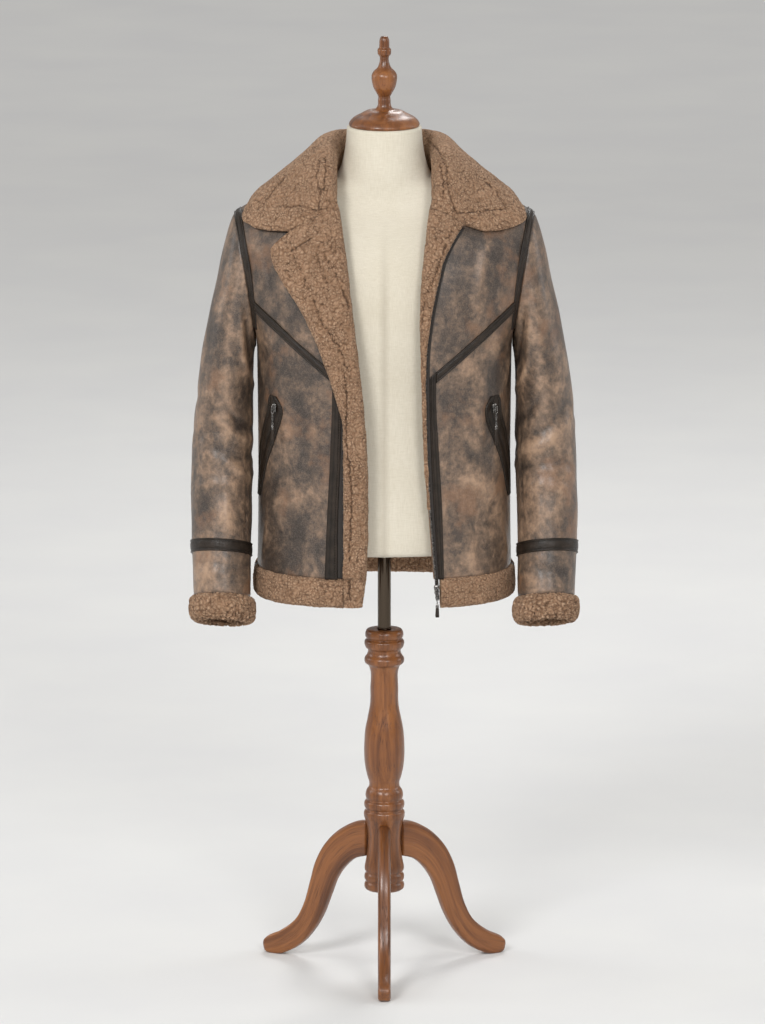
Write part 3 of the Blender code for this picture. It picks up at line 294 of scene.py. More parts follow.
def turned(name, profile, step, sides, made, extra=((), ())):
    """A turned piece: a smooth profile of radius and height carried round the upright axis.

    extra holds plain points before and after the profile, such as a bore's.
    """
    line = resample(np.stack([profile["radius"], profile["z"]], axis=-1), step)
    line = np.concatenate([np.reshape(extra[0], (-1, 2)), line, np.reshape(extra[1], (-1, 2))])
    turns = circle(sides)
    points, faces = fan_closed(np.stack([
        line[:, :1] * np.cos(turns), ORIGIN_Y + line[:, :1] * np.sin(turns),
        np.repeat(line[:, 1:], sides, axis=1)], axis=-1))
    return build(name, points, faces, [made], grain=points)


wire, end = finish("stained_oak", Roughness=0.36, Coat_Weight=0.28, Coat_Roughness=0.22)
fibre = wire.attribute("grain", 1)
streaks = wire.drawn(fibre, (70, 70, 3.2), 6, 0.62, 0.7)
broad = wire.drawn(fibre, (22, 22, 2.0), 3)
pores = wire.drawn(fibre, (900, 900, 26), 2).between(0.58, 0.70)
tone = (0.62 * streaks + 0.38 * broad - 0.10 * pores).ramp(
    (0.34, (0.074, 0.023, 0.006)), (0.45, (0.165, 0.054, 0.013)), (0.56, (0.262, 0.094, 0.024)),
    (0.70, (0.360, 0.145, 0.042)))
OAK = end(Base_Color=tone, Normal=wire.bump(streaks - 0.6 * pores, 0.0005),
          Roughness=0.28 + 0.16 * streaks + 0.10 * pores)

COLUMN = table(
    "z       radius",
    (0.5430, 0.0270), (0.5400, 0.0288), (0.5310, 0.0288), (0.5287, 0.0266), (0.5260, 0.0300),
    (0.5180, 0.0304), (0.5140, 0.0284), (0.5115, 0.0258), (0.5065, 0.0258), (0.5035, 0.0270),
    (0.4980, 0.0306), (0.4910, 0.0304), (0.4858, 0.0245), (0.4800, 0.0224), (0.4500, 0.0218),
    (0.4250, 0.0222), (0.4060, 0.0254), (0.3850, 0.0295), (0.3580, 0.0315), (0.3400, 0.0313),
    (0.3230, 0.0296), (0.3080, 0.0262), (0.2990, 0.0236), (0.2930, 0.0240), (0.2880, 0.0272),
    (0.2830, 0.0290), (0.2760, 0.0290), (0.2720, 0.0276), (0.2695, 0.0303), (0.2600, 0.0307),
    (0.2565, 0.0286), (0.2535, 0.0311), (0.2440, 0.0314), (0.2390, 0.0296), (0.1706, 0.0296),
    (0.1670, 0.0304), (0.1590, 0.0304), (0.1555, 0.0286), (0.1525, 0.0304), (0.1440, 0.0304),
    (0.1410, 0.0286), (0.1385, 0.0304), (0.1300, 0.0302), (0.1272, 0.0270),
)
COLUMN_TOP, COLUMN_LOW = COLUMN["z"][[0, -1]]
BORE_RADIUS, BORE_FLOOR = 0.0107, 0.205
piece = turned("turned_column", COLUMN, 0.0016, 60, OAK,
               (((0, BORE_FLOOR), (BORE_RADIUS, BORE_FLOOR), (BORE_RADIUS, 0.5424),
                 (BORE_RADIUS + 0.0008, COLUMN_TOP)), (0, COLUMN_LOW)))
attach(piece, "stand")
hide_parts("column")

# ---------------------------------------------------------------- three curved legs
# Each leg is sawn from a plank to a swan's neck, its edges rounded over, and tenoned into the
# column's foot. Its toe lies flat on the floor.
LEG = table(
    "top_reach top_z   low_reach low_z",
    (0.0290,   0.2347, 0.0290,   0.1782),
    (0.0497,   0.2305, 0.0497,   0.1715),
    (0.0768,   0.2160, 0.0678,   0.1575),
    (0.1041,   0.1895, 0.0850,   0.1343),
    (0.1215,   0.1590, 0.0969,   0.1055),
    (0.1315,   0.1255, 0.1085,   0.0767),
    (0.1425,   0.0890, 0.1245,   0.0490),
    (0.1590,   0.0600, 0.1460,   0.0240),
    (0.1865,   0.0385, 0.1690,   0.0080),
    (0.2085,   0.0275, 0.1900,   0.0000),
    (0.2190,   0.0170, 0.2170,   0.0000),
)
LEG_THICK = 0.020
lines = resample(np.stack([np.stack([LEG["top_reach"], LEG["top_z"]], axis=-1),
                           np.stack([LEG["low_reach"], LEG["low_z"]], axis=-1)], axis=1), 0.003)
middle, half = lines.mean(axis=1), (lines[:, 0] - lines[:, 1]) / 2


def squared(values, power):
    """Values from -1 to 1 to a power, signs kept: those of a circle give a squared oval."""
    return np.sign(values) * np.abs(values) ** power


def end_caps(rows, sides, start=0):
    """Quads over the first and the last of rows of points round a tube, straight across each."""
    k = np.arange(sides // 2 - 1)
    cap = np.stack([k, k + 1, sides - 2 - k, sides - 1 - k], axis=-1) + start
    return [cap[:, ::-1], cap + (rows - 1) * sides]


# A section is a squared oval, and the toe's end is drawn in.
turns = circle(28)
square = [squared(wave, 0.42) for wave in (np.cos(turns), np.sin(turns))]
toe = np.sqrt(np.clip(1 - ((np.arange(len(lines)) - len(lines) + 4) / 3.2).clip(0) ** 2, 0.02, 1))
flat = middle[:, None] + half[:, None] * square[0][None, :, None] * toe[:, None, None]
side = LEG_THICK / 2 * square[1] * toe[:, None]
along = np.cumsum(np.append(0, np.linalg.norm(np.diff(middle, axis=0), axis=1)))
rows, sides = side.shape
for number, degrees in enumerate((-90, 30, 150), start=1):
    c, s = math.cos(math.radians(degrees)), math.sin(math.radians(degrees))
    points = np.stack([flat[..., 0] * c - side * s, ORIGIN_Y + flat[..., 0] * s + side * c,
                       np.maximum(flat[..., 1], 0)], axis=-1)
    grain = np.stack([side + number, np.linalg.norm(half, axis=1)[:, None] * square[0],
                      np.repeat(along[:, None], sides, axis=1)], axis=-1)
    skin = [patch(rows, sides, wrap_columns=True), *end_caps(rows, sides)]
    piece = build(f"carved_leg_{number}", points, skin, [OAK], grain=grain)
    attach(piece, "stand")
    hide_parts(f"leg_{number}")

# ---------------------------------------------------------------- pole and neck cap
# A chromed steel tube, screwed to the form's base board, that slides in the column, and the oak cap
# with its turned finial that closes the form's neck. The tube's dark colour is partly its own dark
# finish and partly a painted dark reflection.
# Dark base colour: partly the tube's own dark finish, partly a painted dark reflection.
wire, end = finish("chrome_tube", Base_Color=(0.085, 0.065, 0.048, 1), Metallic=1.0)
rub = wire.drawn(wire.place(), (300, 300, 8))
CHROME = end(Roughness=0.10 + 0.14 * rub, Normal=wire.bump(rub, 0.00002))
POLE_RADIUS = 0.0103
POLE = table("z radius", (0.6782, POLE_RADIUS), (0.5120, POLE_RADIUS), (0.3450, POLE_RADIUS))
piece = turned("chromed_pole", POLE, 0.02, 56, CHROME)
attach(piece, "form_and_coat")
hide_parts("pole")

NECK_CAP = table(
    "z       radius",
    (1.4730, 0.0050), (1.4700, 0.0066), (1.4590, 0.0078), (1.4560, 0.0079), (1.4535, 0.0101),
    (1.4490, 0.0104), (1.4450, 0.0098), (1.4430, 0.0080), (1.4300, 0.0083), (1.4250, 0.0105),
    (1.4190, 0.0165), (1.4140, 0.0192), (1.4095, 0.0197), (1.4030, 0.0190), (1.3940, 0.0168),
    (1.3850, 0.0120), (1.3790, 0.0092), (1.3745, 0.0098), (1.3690, 0.0098), (1.3640, 0.0112),
    (1.3595, 0.0160), (1.3585, 0.0255), (1.3525, 0.0375), (1.3465, 0.0480), (1.3410, 0.0530),
    (1.3370, 0.0545), (1.3346, 0.0535),
)
piece = turned("turned_neck_cap", NECK_CAP, 0.0011, 60, OAK, ((0, 1.4735), (0, 1.3346)))
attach(piece, "form_and_coat")
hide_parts("neck_cap")

# ---------------------------------------------------------------- linen form
# A limbless form of pressed pulp with thin padding, under tightly stretched unbleached linen that
# is seamed down its middle, over the chest, and at its sides.
FORM = table(
    "z       half_width front  back   square",
    (0.6785, 0.1600, 0.108, 0.104, 2.3),
    (0.700, 0.1620, 0.110, 0.106, 2.3),
    (0.780, 0.1600, 0.109, 0.104, 2.3),
    (0.860, 0.1560, 0.106, 0.099, 2.3),
    (0.940, 0.1600, 0.109, 0.100, 2.3),
    (1.020, 0.1680, 0.116, 0.108, 2.3),
    (1.080, 0.1740, 0.116, 0.113, 2.3),
    (1.130, 0.1780, 0.108, 0.112, 2.3),
    (1.165, 0.1800, 0.092, 0.102, 2.3),
    (1.190, 0.1800, 0.075, 0.088, 2.2),
    (1.208, 0.1770, 0.063, 0.076, 2.1),
    (1.2170, 0.1700, 0.058, 0.069, 2.0),
    (1.2260, 0.1515, 0.055, 0.064, 2.0),
    (1.2350, 0.1250, 0.054, 0.062, 2.0),
    (1.2440, 0.1025, 0.054, 0.061, 2.0),
    (1.2525, 0.0787, 0.055, 0.0595, 2.0),
    (1.2660, 0.0690, 0.056, 0.059, 2.0),
    (1.2850, 0.0625, 0.0565, 0.058, 2.0),
    (1.3050, 0.0590, 0.0565, 0.0575, 2.0),
    (1.3340, 0.0565, 0.0565, 0.0565, 2.0),
)


def outward(grid, wrap_rows=False, wrap_columns=False):
    """Directions square to a grid, from the steps between each point's neighbours."""
    steps = [np.roll(grid, -1, axis) - np.roll(grid, 1, axis) if wrap
             else np.gradient(grid, axis=axis)
             for axis, wrap in ((0, wrap_rows), (1, wrap_columns))]
    return unit(np.cross(*steps))


wire, end = finish("unbleached_linen", Sheen_Weight=0.15, Sheen_Roughness=0.6)
place = wire.place()
threads = [wire.drawn(place, scales, 2) for scales in ((90, 90, 1500), (1100, 1100, 60))]
stain = wire.noise(place, 7.0, 4)
slub = 0.5 * threads[0] + 0.5 * threads[1]
seam = wire.attribute("seam", 2)
tone = wire.mix((0.35 * stain + 0.65 * slub).between(0.30, 0.72), (0.60, 0.545, 0.43, 1),
                (0.74, 0.69, 0.58, 1))
LINEN = end(Base_Color=wire.mix(0.35 * seam, tone, (0.30, 0.25, 0.18, 1)),
            Roughness=0.72 + 0.2 * slub, Normal=wire.bump(slub, 0.0006))

z = np.linspace(FORM["z"][0], FORM["z"][-1], 132)
columns = {name: smooth(z, FORM["z"], FORM[name])[:, None] for name in FORM if name != "z"}
turns = circle(168)
sine = np.sin(turns)
# Level rings are squared ovals, drawn in at the bottom edge.
power = 2 / columns["square"]
bottom = 1 - 0.035 * np.clip(1 - (z - z[0]) / 0.008, 0, 1)[:, None] ** 2
x = columns["half_width"] * bottom * squared(np.cos(turns), power)
depth = np.where(sine < 0, columns["front"], columns["back"]) * bottom
y = depth * squared(sine, power)
rings = np.stack([x, y, np.repeat(z[:, None], len(turns), axis=1)], axis=-1)
# Seams: x at the chest on each side, as a share of the half width, drawn in towards the neck.
SEAM_WIDTH, SEAM_DEPTH, SEAM_TOP = 0.0016, 0.0007, 1.20
seams = np.zeros(x.shape)
for share in (-0.50, 0.0, 0.50):
    draw = 0.55 + 0.45 * np.clip((SEAM_TOP - z) / 0.25, 0, 1)[:, None]
    line = share * columns["half_width"] * draw
    seams = np.maximum(seams, np.exp(-((x - line) / SEAM_WIDTH) ** 2) * (np.abs(sine) > 0.05))
seams = seams * np.clip((SEAM_TOP - z) / 0.12, 0.0, 1.0)[:, None]
seams = np.maximum(seams, np.exp(-(y / SEAM_WIDTH) ** 2))
rings -= outward(rings, wrap_columns=True) * (SEAM_DEPTH * seams[..., None])
rings[..., 1] += ORIGIN_Y
piece = build("linen_form", *fan_closed(rings), [LINEN], seam=np.append(seams.ravel(), [0, 0]))
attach(piece, "form_and_coat")
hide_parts("torso")

# ---------------------------------------------------------------- back panel
# One sheepskin, distressed leather outside and short wool inside, cut in one from the hem seam to
# the shoulder seams. The coat's outside is one surface, and every panel is a patch of it.
HIDE = 0.008                      # sheepskin with its short wool
HEM_BOTTOM, HEM_TOP, UNDERARM = 0.606, 0.650, 0.990
SECTION = 2.5                     # squareness of the level sections
BEND = {-1: 2.2, 1: 2.5}          # squareness of chest (-1) and back (1) towards the shoulder seam
ARM_REACH, ARM_LEAN, ARM_DEPTH = 0.035, 1.3, 0.065
STRIP_WIDTH = 0.014
NECK_X, NECK_BACK = 0.085, 1.250
GAP = 0.0003
BODY = table(
    "z      half_width front  back",
    (0.606, 0.1985,    0.140, 0.142),
    (0.650, 0.1968,    0.139, 0.141),
    (0.720, 0.1955,    0.139, 0.138),
    (0.800, 0.1950,    0.141, 0.135),
    (0.900, 0.1955,    0.144, 0.137),
    (0.990, 0.1965,    0.146, 0.141),
)
SHOULDER = table(
    "x      z",
    (0.000, 1.2880), (0.040, 1.2810), (0.085, 1.2620), (0.128, 1.2435), (0.170, 1.2295),
    (0.200, 1.2170), (0.2195, 1.2070), (0.2315, 1.1980), (0.250, 1.1800),
)


def ridge(x):
    """Height of the shoulder seam at x."""
    return smooth(x, SHOULDER["x"], SHOULDER["z"])


def section(side, h):
    """Half width, depth and seam or armhole x of the level section at h, and its climb."""
    low_z = HEM_TOP + (UNDERARM - HEM_TOP) * np.minimum(h, 1)
    low_width = smooth(low_z, BODY["z"], BODY["half_width"])
    low_depth = smooth(low_z, BODY["z"], BODY["front" if side < 0 else "back"])
    rise = np.clip(h - 1, 0, 1) * math.pi / 2
    climb = np.sin(rise) ** (2 / BEND[side])
    depth = low_depth * np.maximum(np.cos(rise), 0) ** (2 / BEND[side])
    edge = low_width + ARM_REACH * climb**ARM_LEAN
    near = np.minimum(climb, 0.995)
    oval = ARM_DEPTH * np.sqrt(4 * near * (1 - near))
    share = oval / (low_depth * (1 - near ** BEND[side]) ** (1 / BEND[side]))
    return edge / (1 - share**SECTION) ** (1 / SECTION), depth, edge, climb


def body_point(side, f, h):
    """Point of the coat's outside at +X. side is -1 in front and 1 behind.

    f runs from the centre line (0) to the side seam or armhole (1), h from the hem seam (0) by the
    underarm (1) to the shoulder seam (2). A level section is x = width * sin(turn)^(2/n) and
    y = depth * cos(turn)^(2/n) with n = SECTION, drawn in towards the shoulder seam.
    """
    half_width, depth, edge, climb = section(side, h)
    turn = f * np.arcsin(np.clip(edge / half_width, 0, 1) ** (SECTION / 2))
    x = half_width * np.sin(turn) ** (2 / SECTION)
    y = side * (depth * np.maximum(np.cos(turn), 0) ** (2 / SECTION) + GAP / 2)
    z = np.where(h <= 1, HEM_TOP + (UNDERARM - HEM_TOP) * h,
                 UNDERARM + climb * (ridge(x) - UNDERARM))
    return np.stack([x, y, z], axis=-1)


def body_normal(side, f, h):
    """Outward direction of that surface, from points a small step apart."""
    step = 1e-4
    over = (body_point(side, np.minimum(f + step, 1), h)
            - body_point(side, np.maximum(f - step, 0), h))
    up = body_point(side, f, np.minimum(h + step, 2)) - body_point(side, f, h - step)
    return unit(np.cross(over, up) * -side)


def share_at(side, h, x):
    """The f of the point at x on the section at h."""
    half_width, _, edge, _ = section(side, h)
    whole = np.arcsin(np.clip(edge / half_width, 0, 1) ** (SECTION / 2))
    return np.arcsin(np.clip(x / half_width, 0, 1) ** (SECTION / 2)) / whole


def height_share(side, x, z):
    """The h of the point at x and z."""
    climb = np.clip((z - UNDERARM) / (ridge(x) - UNDERARM), 0, 1)
    high = 1 + 2 / math.pi * np.arcsin(climb ** (BEND[side] / 2))
    return np.where(z <= UNDERARM, (z - HEM_TOP) / (UNDERARM - HEM_TOP), high)


def arm_share(side, turn):
    """The h at an angle in degrees round the armhole, from the underarm (0) to the top (180)."""
    climb = (1 - np.cos(np.radians(turn))) / 2
    return 1 + 2 / math.pi * np.arcsin(climb ** (BEND[side] / 2))


def inset_share(side, h, width):
    """The f that lies a strip's width in from the side seam or armhole, at each h."""
    steps = np.linspace(0.6, 1, 81)
    points = body_point(side, *np.broadcast_arrays(steps, h[:, None]))
    lengths = np.cumsum(np.linalg.norm(np.diff(points, axis=1), axis=2), axis=1)
    return np.array([np.interp(row[-1] - width, np.append(0, row), steps) for row in lengths])


HAND = {"R": -1.0, "L": 1.0}      # the wearer's right is at -X


def mirrored(points, hand):
    """The same points for the wearer's right or left."""
    return points * np.array([HAND[hand], 1.0, 1.0])


def both_halves(grid):
    """A half grid, centre to side, and its mirror image as one grid from side to side."""
    return np.concatenate([mirrored(grid[:, :0:-1], "R"), grid], axis=1)


EDGE_STEPS, EDGE_REST = np.array([0.0, 0.0012, 0.0026, 0.0045]), 0.0085


def edged(whole, count):
    """Places from 0 to the whole: close together at the two edges, and a count evenly between."""
    inner = np.linspace(EDGE_REST, whole - EDGE_REST, count)
    return np.concatenate([EDGE_STEPS, inner, whole - EDGE_STEPS[::-1]])


def finer(side, f, h, step):
    """f and h of a finer lattice whose points lie a step apart, and closer along its edges."""
    grid = np.stack([f, h], axis=-1)
    for axis in (0, 1):
        points = body_point(side, grid[..., 0], grid[..., 1])
        lengths = np.linalg.norm(np.diff(points, axis=axis), axis=-1).mean(axis=1 - axis)
        knots = np.append(0, np.cumsum(lengths))
        whole = knots[-1]
        at = edged(whole, max(math.ceil((whole - 2 * EDGE_REST) / step), 1) + 1)
        grid = np.moveaxis(smooth(at, knots, np.moveaxis(grid, axis, 0)), 0, axis)
    return np.clip(grid[..., 0], 0, 1), np.minimum(grid[..., 1], 2)


def folded(a, b, folds):
    """Height of soft folds at places a, b in metres on a panel.

    A fold has a middle, a direction in degrees, a half length, a width, a height, which is below
    0 for a trough, and a bow. Its height falls off as exp(-(across / width)^2 - (along / half)^4).
    """
    total = np.zeros(np.broadcast(a, b).shape)
    for a0, b0, degrees, half, width, height, bow in folds:
        c, s = math.cos(math.radians(degrees)), math.sin(math.radians(degrees))
        along = (a - a0) * c + (b - b0) * s
        over = (b - b0) * c - (a - a0) * s - bow * along**2
        total += height * np.exp(-((over / width) ** 2) - (along / half) ** 4)
    return total


def swell(points, seed, length):
    """Gentle unevenness from about -1 to 1: sine waves of like length in random directions."""
    random = np.random.default_rng(seed)
    ways = unit(random.normal(size=(8, 3))) * random.uniform(0.6, 1.5, (8, 1))
    ways = ways * 2 * math.pi / length
    return np.sin(points @ ways.T + random.uniform(0, 2 * math.pi, 8)).mean(axis=-1) * 1.7


# Folds of the fronts and the back: arc from the centre line (+ is the wearer's left), height,
# direction, half length, width, height and bow.
PANEL_ARC = 0.25
FRONT_FOLDS = (
    (-0.15, 1.12, 96, 0.06, 0.011, 0.0022, 0.6), (-0.176, 1.1, 99, 0.055, 0.008, -0.002, 0.5),
    (-0.118, 1.075, 60, 0.045, 0.01, -0.0016, 1.5), (-0.13, 0.88, 100, 0.06, 0.016, 0.0022, -0.7),
    (-0.1, 0.865, 97, 0.075, 0.013, -0.0018, -0.4), (-0.15, 0.8, 32, 0.045, 0.009, -0.002, 2.0),
    (-0.142, 0.76, 22, 0.05, 0.01, 0.0018, 1.5), (-0.125, 0.715, 12, 0.05, 0.012, -0.0018, 2.5),
    (-0.19, 0.7, 70, 0.045, 0.011, 0.002, 1.0), (-0.215, 0.945, 118, 0.04, 0.009, -0.0022, 0.0),
    (-0.2, 0.965, 121, 0.04, 0.008, 0.0018, 0.0), (-0.09, 0.69, 84, 0.04, 0.01, 0.0014, 0.0),
    (0.14, 1.125, 82, 0.06, 0.012, 0.0022, -0.5), (0.172, 1.1, 78, 0.055, 0.009, -0.002, 0.4),
    (0.115, 1.07, 118, 0.04, 0.01, -0.0015, 1.0), (0.118, 0.905, 88, 0.05, 0.015, 0.0024, 0.6),
    (0.145, 0.88, 84, 0.06, 0.012, -0.0018, 0.5), (0.12, 0.835, 148, 0.04, 0.009, -0.0018, 1.4),
    (0.135, 0.79, 158, 0.05, 0.011, 0.0018, 1.0), (0.15, 0.73, 165, 0.045, 0.011, -0.0016, -2.0),
    (0.188, 0.705, 108, 0.05, 0.012, 0.0022, 0.6), (0.214, 0.94, 62, 0.04, 0.009, -0.0022, 0.0),
    (0.199, 0.962, 58, 0.04, 0.008, 0.0017, 0.0), (0.105, 0.69, 95, 0.035, 0.01, 0.0014, 0.0),
)
BACK_FOLDS = (
    (-0.15, 1.08, 104, 0.07, 0.013, -0.0024, 0.7), (-0.172, 1.05, 108, 0.06, 0.011, 0.0022, 0.6),
    (0.158, 1.085, 77, 0.065, 0.013, -0.0024, -0.6), (0.178, 1.04, 73, 0.06, 0.01, 0.0021, -0.4),
    (-0.04, 0.9, 8, 0.085, 0.012, -0.002, 0.9), (0.05, 0.872, -6, 0.08, 0.013, 0.0022, 0.8),
    (-0.075, 0.838, 14, 0.07, 0.011, 0.002, -0.7), (0.07, 0.812, -13, 0.075, 0.012, -0.0022, -0.9),
    (-0.12, 0.76, 62, 0.055, 0.014, 0.0022, 0.5), (0.132, 0.752, 115, 0.06, 0.013, 0.002, -0.6),
    (-0.205, 0.93, 62, 0.05, 0.009, -0.0024, 0.0), (0.208, 0.926, 117, 0.05, 0.009, -0.0024, 0.0),
    (-0.188, 0.95, 58, 0.045, 0.008, 0.0018, 0.0), (0.19, 0.948, 121, 0.045, 0.008, 0.0018, 0.0),
    (0.01, 0.72, 92, 0.055, 0.016, 0.0018, 0.0), (-0.06, 0.7, 84, 0.045, 0.013, -0.0016, 0.0),
    (0.075, 0.7, 97, 0.045, 0.013, -0.0016, 0.0), (0.01, 1.18, 3, 0.09, 0.016, -0.0016, 0.5),
)


def relief(side, f, points):
    """How far the folds lift the coat over its plain surface. f is below 0 on the wearer's right.

    The folds die out at the side seams and near the shoulder seams.
    """
    z = points[..., 2]
    fade = np.clip((1 - np.abs(f)) / 0.08, 0, 1) ** 2 * np.clip((1.235 - z) / 0.05, 0, 1)
    folds = folded(f * PANEL_ARC, z, FRONT_FOLDS if side < 0 else BACK_FOLDS)
    return (folds + 0.0008 * swell(points, 3 + side, 0.075)) * fade


def shell(outer, inner, wrap=False):
    """Points and quads of a closed wall between two like grids; wrap joins last row to first."""
    rows, columns = outer.shape[:2]
    half = rows * columns
    i = np.arange(rows if wrap else rows - 1)
    a, d = i * columns, (i + 1) % rows * columns
    b, c = a + columns - 1, d + columns - 1
    rims = [np.stack([a, d, half + d, half + a], axis=-1),
            np.stack([b, half + b, half + c, c], axis=-1)]
    if not wrap:
        k = np.arange(columns - 1)
        low = half - columns + k
        rims += [np.stack([k, half + k, half + k + 1, k + 1], axis=-1),
                 np.stack([low, low + 1, half + low + 1, half + low], axis=-1)]
    points = np.concatenate([outer.reshape(-1, 3), inner.reshape(-1, 3)])
    points = points + np.array([0, ORIGIN_Y, 0])
    faces = [patch(rows, columns, wrap), patch(rows, columns, wrap, start=half, flip=True)]
    return points, [*faces, np.concatenate(rims)]


def edge_distance(points, wrap=False):
    """Distance of each point of a grid from the nearest of its edges, along the grid."""
    near = np.full(points.shape[:2], 1.0)
    for axis in ((1,) if wrap else (0, 1)):
        lengths = np.linalg.norm(np.diff(points, axis=axis), axis=-1)
        start = np.zeros_like(np.take(lengths, [0], axis))
        run = np.concatenate([start, np.cumsum(lengths, axis)], axis)
        near = np.minimum(near, np.minimum(run, np.take(run, [-1], axis) - run))
    return near


wire, end = finish("distressed_leather", Coat_Weight=0.34, Coat_Roughness=0.32)
place = wire.place()
broad = wire.noise(place, 7.5, 3.0, 0.55, 0.4)
cloud = wire.drawn(place, (30, 30, 19), 5.0, 0.60, 0.6)
mottle = wire.noise(place, 105.0, 5.0, 0.66, 0.2)
speck = wire.noise(place, 760.0, 3.0, 0.6)
rust = wire.noise(wire.node("Mapping", inputs={"Vector": place, "Location": (3, 5, 1)}),
                  15.0, 4.0, 0.6)
# Per point, lighter on raised folds and darker in fold troughs and seam dips: partly rubbed wear,
# partly painted highlight and painted shade.
worn = wire.attribute("worn", 2)
tone = (0.30 * broad + 0.38 * cloud + 0.32 * mottle + 0.32 * worn).ramp(
    (0.41, (0.022, 0.014, 0.010)), (0.47, (0.058, 0.038, 0.026)), (0.525, (0.124, 0.079, 0.051)),
    (0.575, (0.220, 0.139, 0.088)), (0.66, (0.390, 0.248, 0.156)))
tone = wire.mix(rust.between(0.54, 0.68) * 0.50, tone, (0.240, 0.116, 0.055, 1))
tone = wire.mix(speck.between(0.42, 0.72) * 0.26, tone, (0.36, 0.28, 0.22, 1))
cells = wire.node("TexVoronoi", {"feature": "DISTANCE_TO_EDGE"},
                  {"Vector": place, "Scale": 560.0, "Randomness": 1.0}).between(0.0, 0.25)
slant = {"Vector": place, "Rotation": (0, 0.5, 0), "Scale": (260, 260, 150)}
wrinkle = wire.noise(wire.node("Mapping", inputs=slant), 1.0, 3, 0.5, 0.8)
grain = wire.bump(wrinkle, 0.0004, wire.bump(cells, 0.00014))
LEATHER = end(Base_Color=tone, Roughness=0.30 + 0.20 * mottle + 0.08 * speck,
              Normal=wire.bump(mottle, 0.0009, grain))

# Wool is shorn to about 8 mm and curls into close round tufts: small ones of 4 mm, and coarser ones
# where the attribute coarse is 1. Its tips are painted lighter, a painted highlight, and its clefts
# darker, a painted shade.
wire, end = finish("shorn_wool", Roughness=0.95, Sheen_Weight=0.35, Sheen_Roughness=0.45,
                   Sheen_Tint=(0.80, 0.58, 0.42, 1))
place = wire.place()
drift = wire.node("TexNoise", inputs={"Vector": place, "Scale": 55.0, "Detail": 2.0}, out=1)
bent = wire.node("VectorMath", {"operation": "MULTIPLY_ADD"},
                 {0: drift, 1: (0.012, 0.012, 0.012), 2: place})


def tufts(size):
    """Height of round tufts about a size across: a dome each, and deep clefts between them."""
    cell = {"Vector": bent, "Scale": 1 / size, "Randomness": 0.85}
    middle = wire.node("TexVoronoi", {"feature": "F1"}, cell)
    border = wire.node("TexVoronoi", {"feature": "DISTANCE_TO_EDGE"}, cell)
    return 0.45 * border.between(0.0, 0.40) + 0.55 * (1 - 1.8 * middle * middle)


curl, coarse = wire.attribute("curl", 2), wire.attribute("coarse", 2)
fine, large = tufts(0.0042), tufts(0.0062)
fibres = wire.noise(bent, 1100.0, 3.0, 0.65, 2.0)
broad = wire.noise(place, 38.0, 3.0)
height = fine * (1 - coarse) + large * coarse
# Tuft tops are painted lighter as painted highlight, and the clefts darker as painted shade.
tone = (0.60 * height + 0.30 * curl + 0.38 * (fibres - 0.5)).ramp(
    (0.02, (0.085, 0.040, 0.019)), (0.25, (0.245, 0.133, 0.071)), (0.50, (0.415, 0.245, 0.144)),
    (0.82, (0.600, 0.392, 0.256)))
tone = wire.mix(broad.between(0.42, 0.66) * 0.22, tone, (0.240, 0.130, 0.068, 1))
WOOL = end(Base_Color=tone, Normal=wire.bump(height, 0.0030, wire.bump(fibres, 0.0013)))


DIP_WIDTH, DIP_DEPTH = 0.0022, 0.0013


def leather_shell(name, points, normals, lift, node, wrap=False, worn=0.0):
    """A sheepskin panel: folded leather outside that dips at its seams, and wool inside."""
    dip = np.exp(-((edge_distance(points, wrap) / DIP_WIDTH) ** 2))
    outer = points + normals * (lift - DIP_DEPTH * dip)[..., None]
    inner = points - normals * HIDE
    curl = 0.40 + 0.25 * swell(inner, 7, 0.013)
    vertices, faces = shell(outer, inner, wrap)
    # Lighter on raised folds, partly wear and partly painted highlight; darker in fold troughs and
    # at the seam dips, painted shade.
    worn = np.broadcast_to(worn + 90 * np.clip(lift, -0.002, 0.003) - 0.12 * dip, lift.shape)
    index = np.repeat([0, 1, 1], [len(f) for f in faces])
    piece = build(name, vertices, faces, [LEATHER, WOOL], index,
                  curl=np.concatenate([0 * curl.ravel() + 0.4, curl.ravel()]),
                  worn=np.concatenate([worn.ravel(), 0 * worn.ravel()]))
    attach(piece, "form_and_coat")
    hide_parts(node)
    return piece


SLEEVE_TURNS = np.array([0.0, 25.0, 50.0, 74.4, 100.0, 120.0, 140.0, 160.0, 170.0, 180.0])
BACK_LOW_ROWS = (0.650, 0.720, 0.800, 0.870, 0.935)
LATTICE_ROUNDS = 12               # rounds in which the rows and columns settle on each other
# Rows of the back from the hem to the shoulder and neckline, columns from the centre to the side.
side_h = np.append((np.array(BACK_LOW_ROWS) - HEM_TOP) / (UNDERARM - HEM_TOP),
                   arm_share(1, SLEEVE_TURNS))
inner = np.append(np.array([0, 0.35, 0.68, 0.9, 1]) * share_at(1, np.array(2.0), NECK_X),
                  [0.40, 0.56, 0.71, 0.84])
back_f = np.column_stack([np.tile(inner, (len(side_h), 1)), inset_share(1, side_h, STRIP_WIDTH),
                          np.ones(len(side_h))])
back_h = np.tile(side_h[:, None], (1, back_f.shape[1]))
for _ in range(LATTICE_ROUNDS):
    x = body_point(1, back_f, back_h)[..., 0]
    line = NECK_BACK + (ridge(np.array(NECK_X)) - NECK_BACK) * np.minimum(x / NECK_X, 1) ** 2
    top = np.where(x[-1] < NECK_X - 1e-5, height_share(1, x, line), 2.0)
    back_h = np.where(side_h[:, None] <= 1, side_h[:, None],
                      1 + (side_h[:, None] - 1) * (top - 1))
back_points, back_normals = body_point(1, back_f, back_h), body_normal(1, back_f, back_h)
f, h = finer(1, back_f, back_h, 0.0047)
points, normals = both_halves(body_point(1, f, h)), both_halves(body_normal(1, f, h))
lift = relief(1, np.concatenate([-f[:, :0:-1], f], axis=1), points)
piece = leather_shell("coat_back", points, normals, lift, "back")

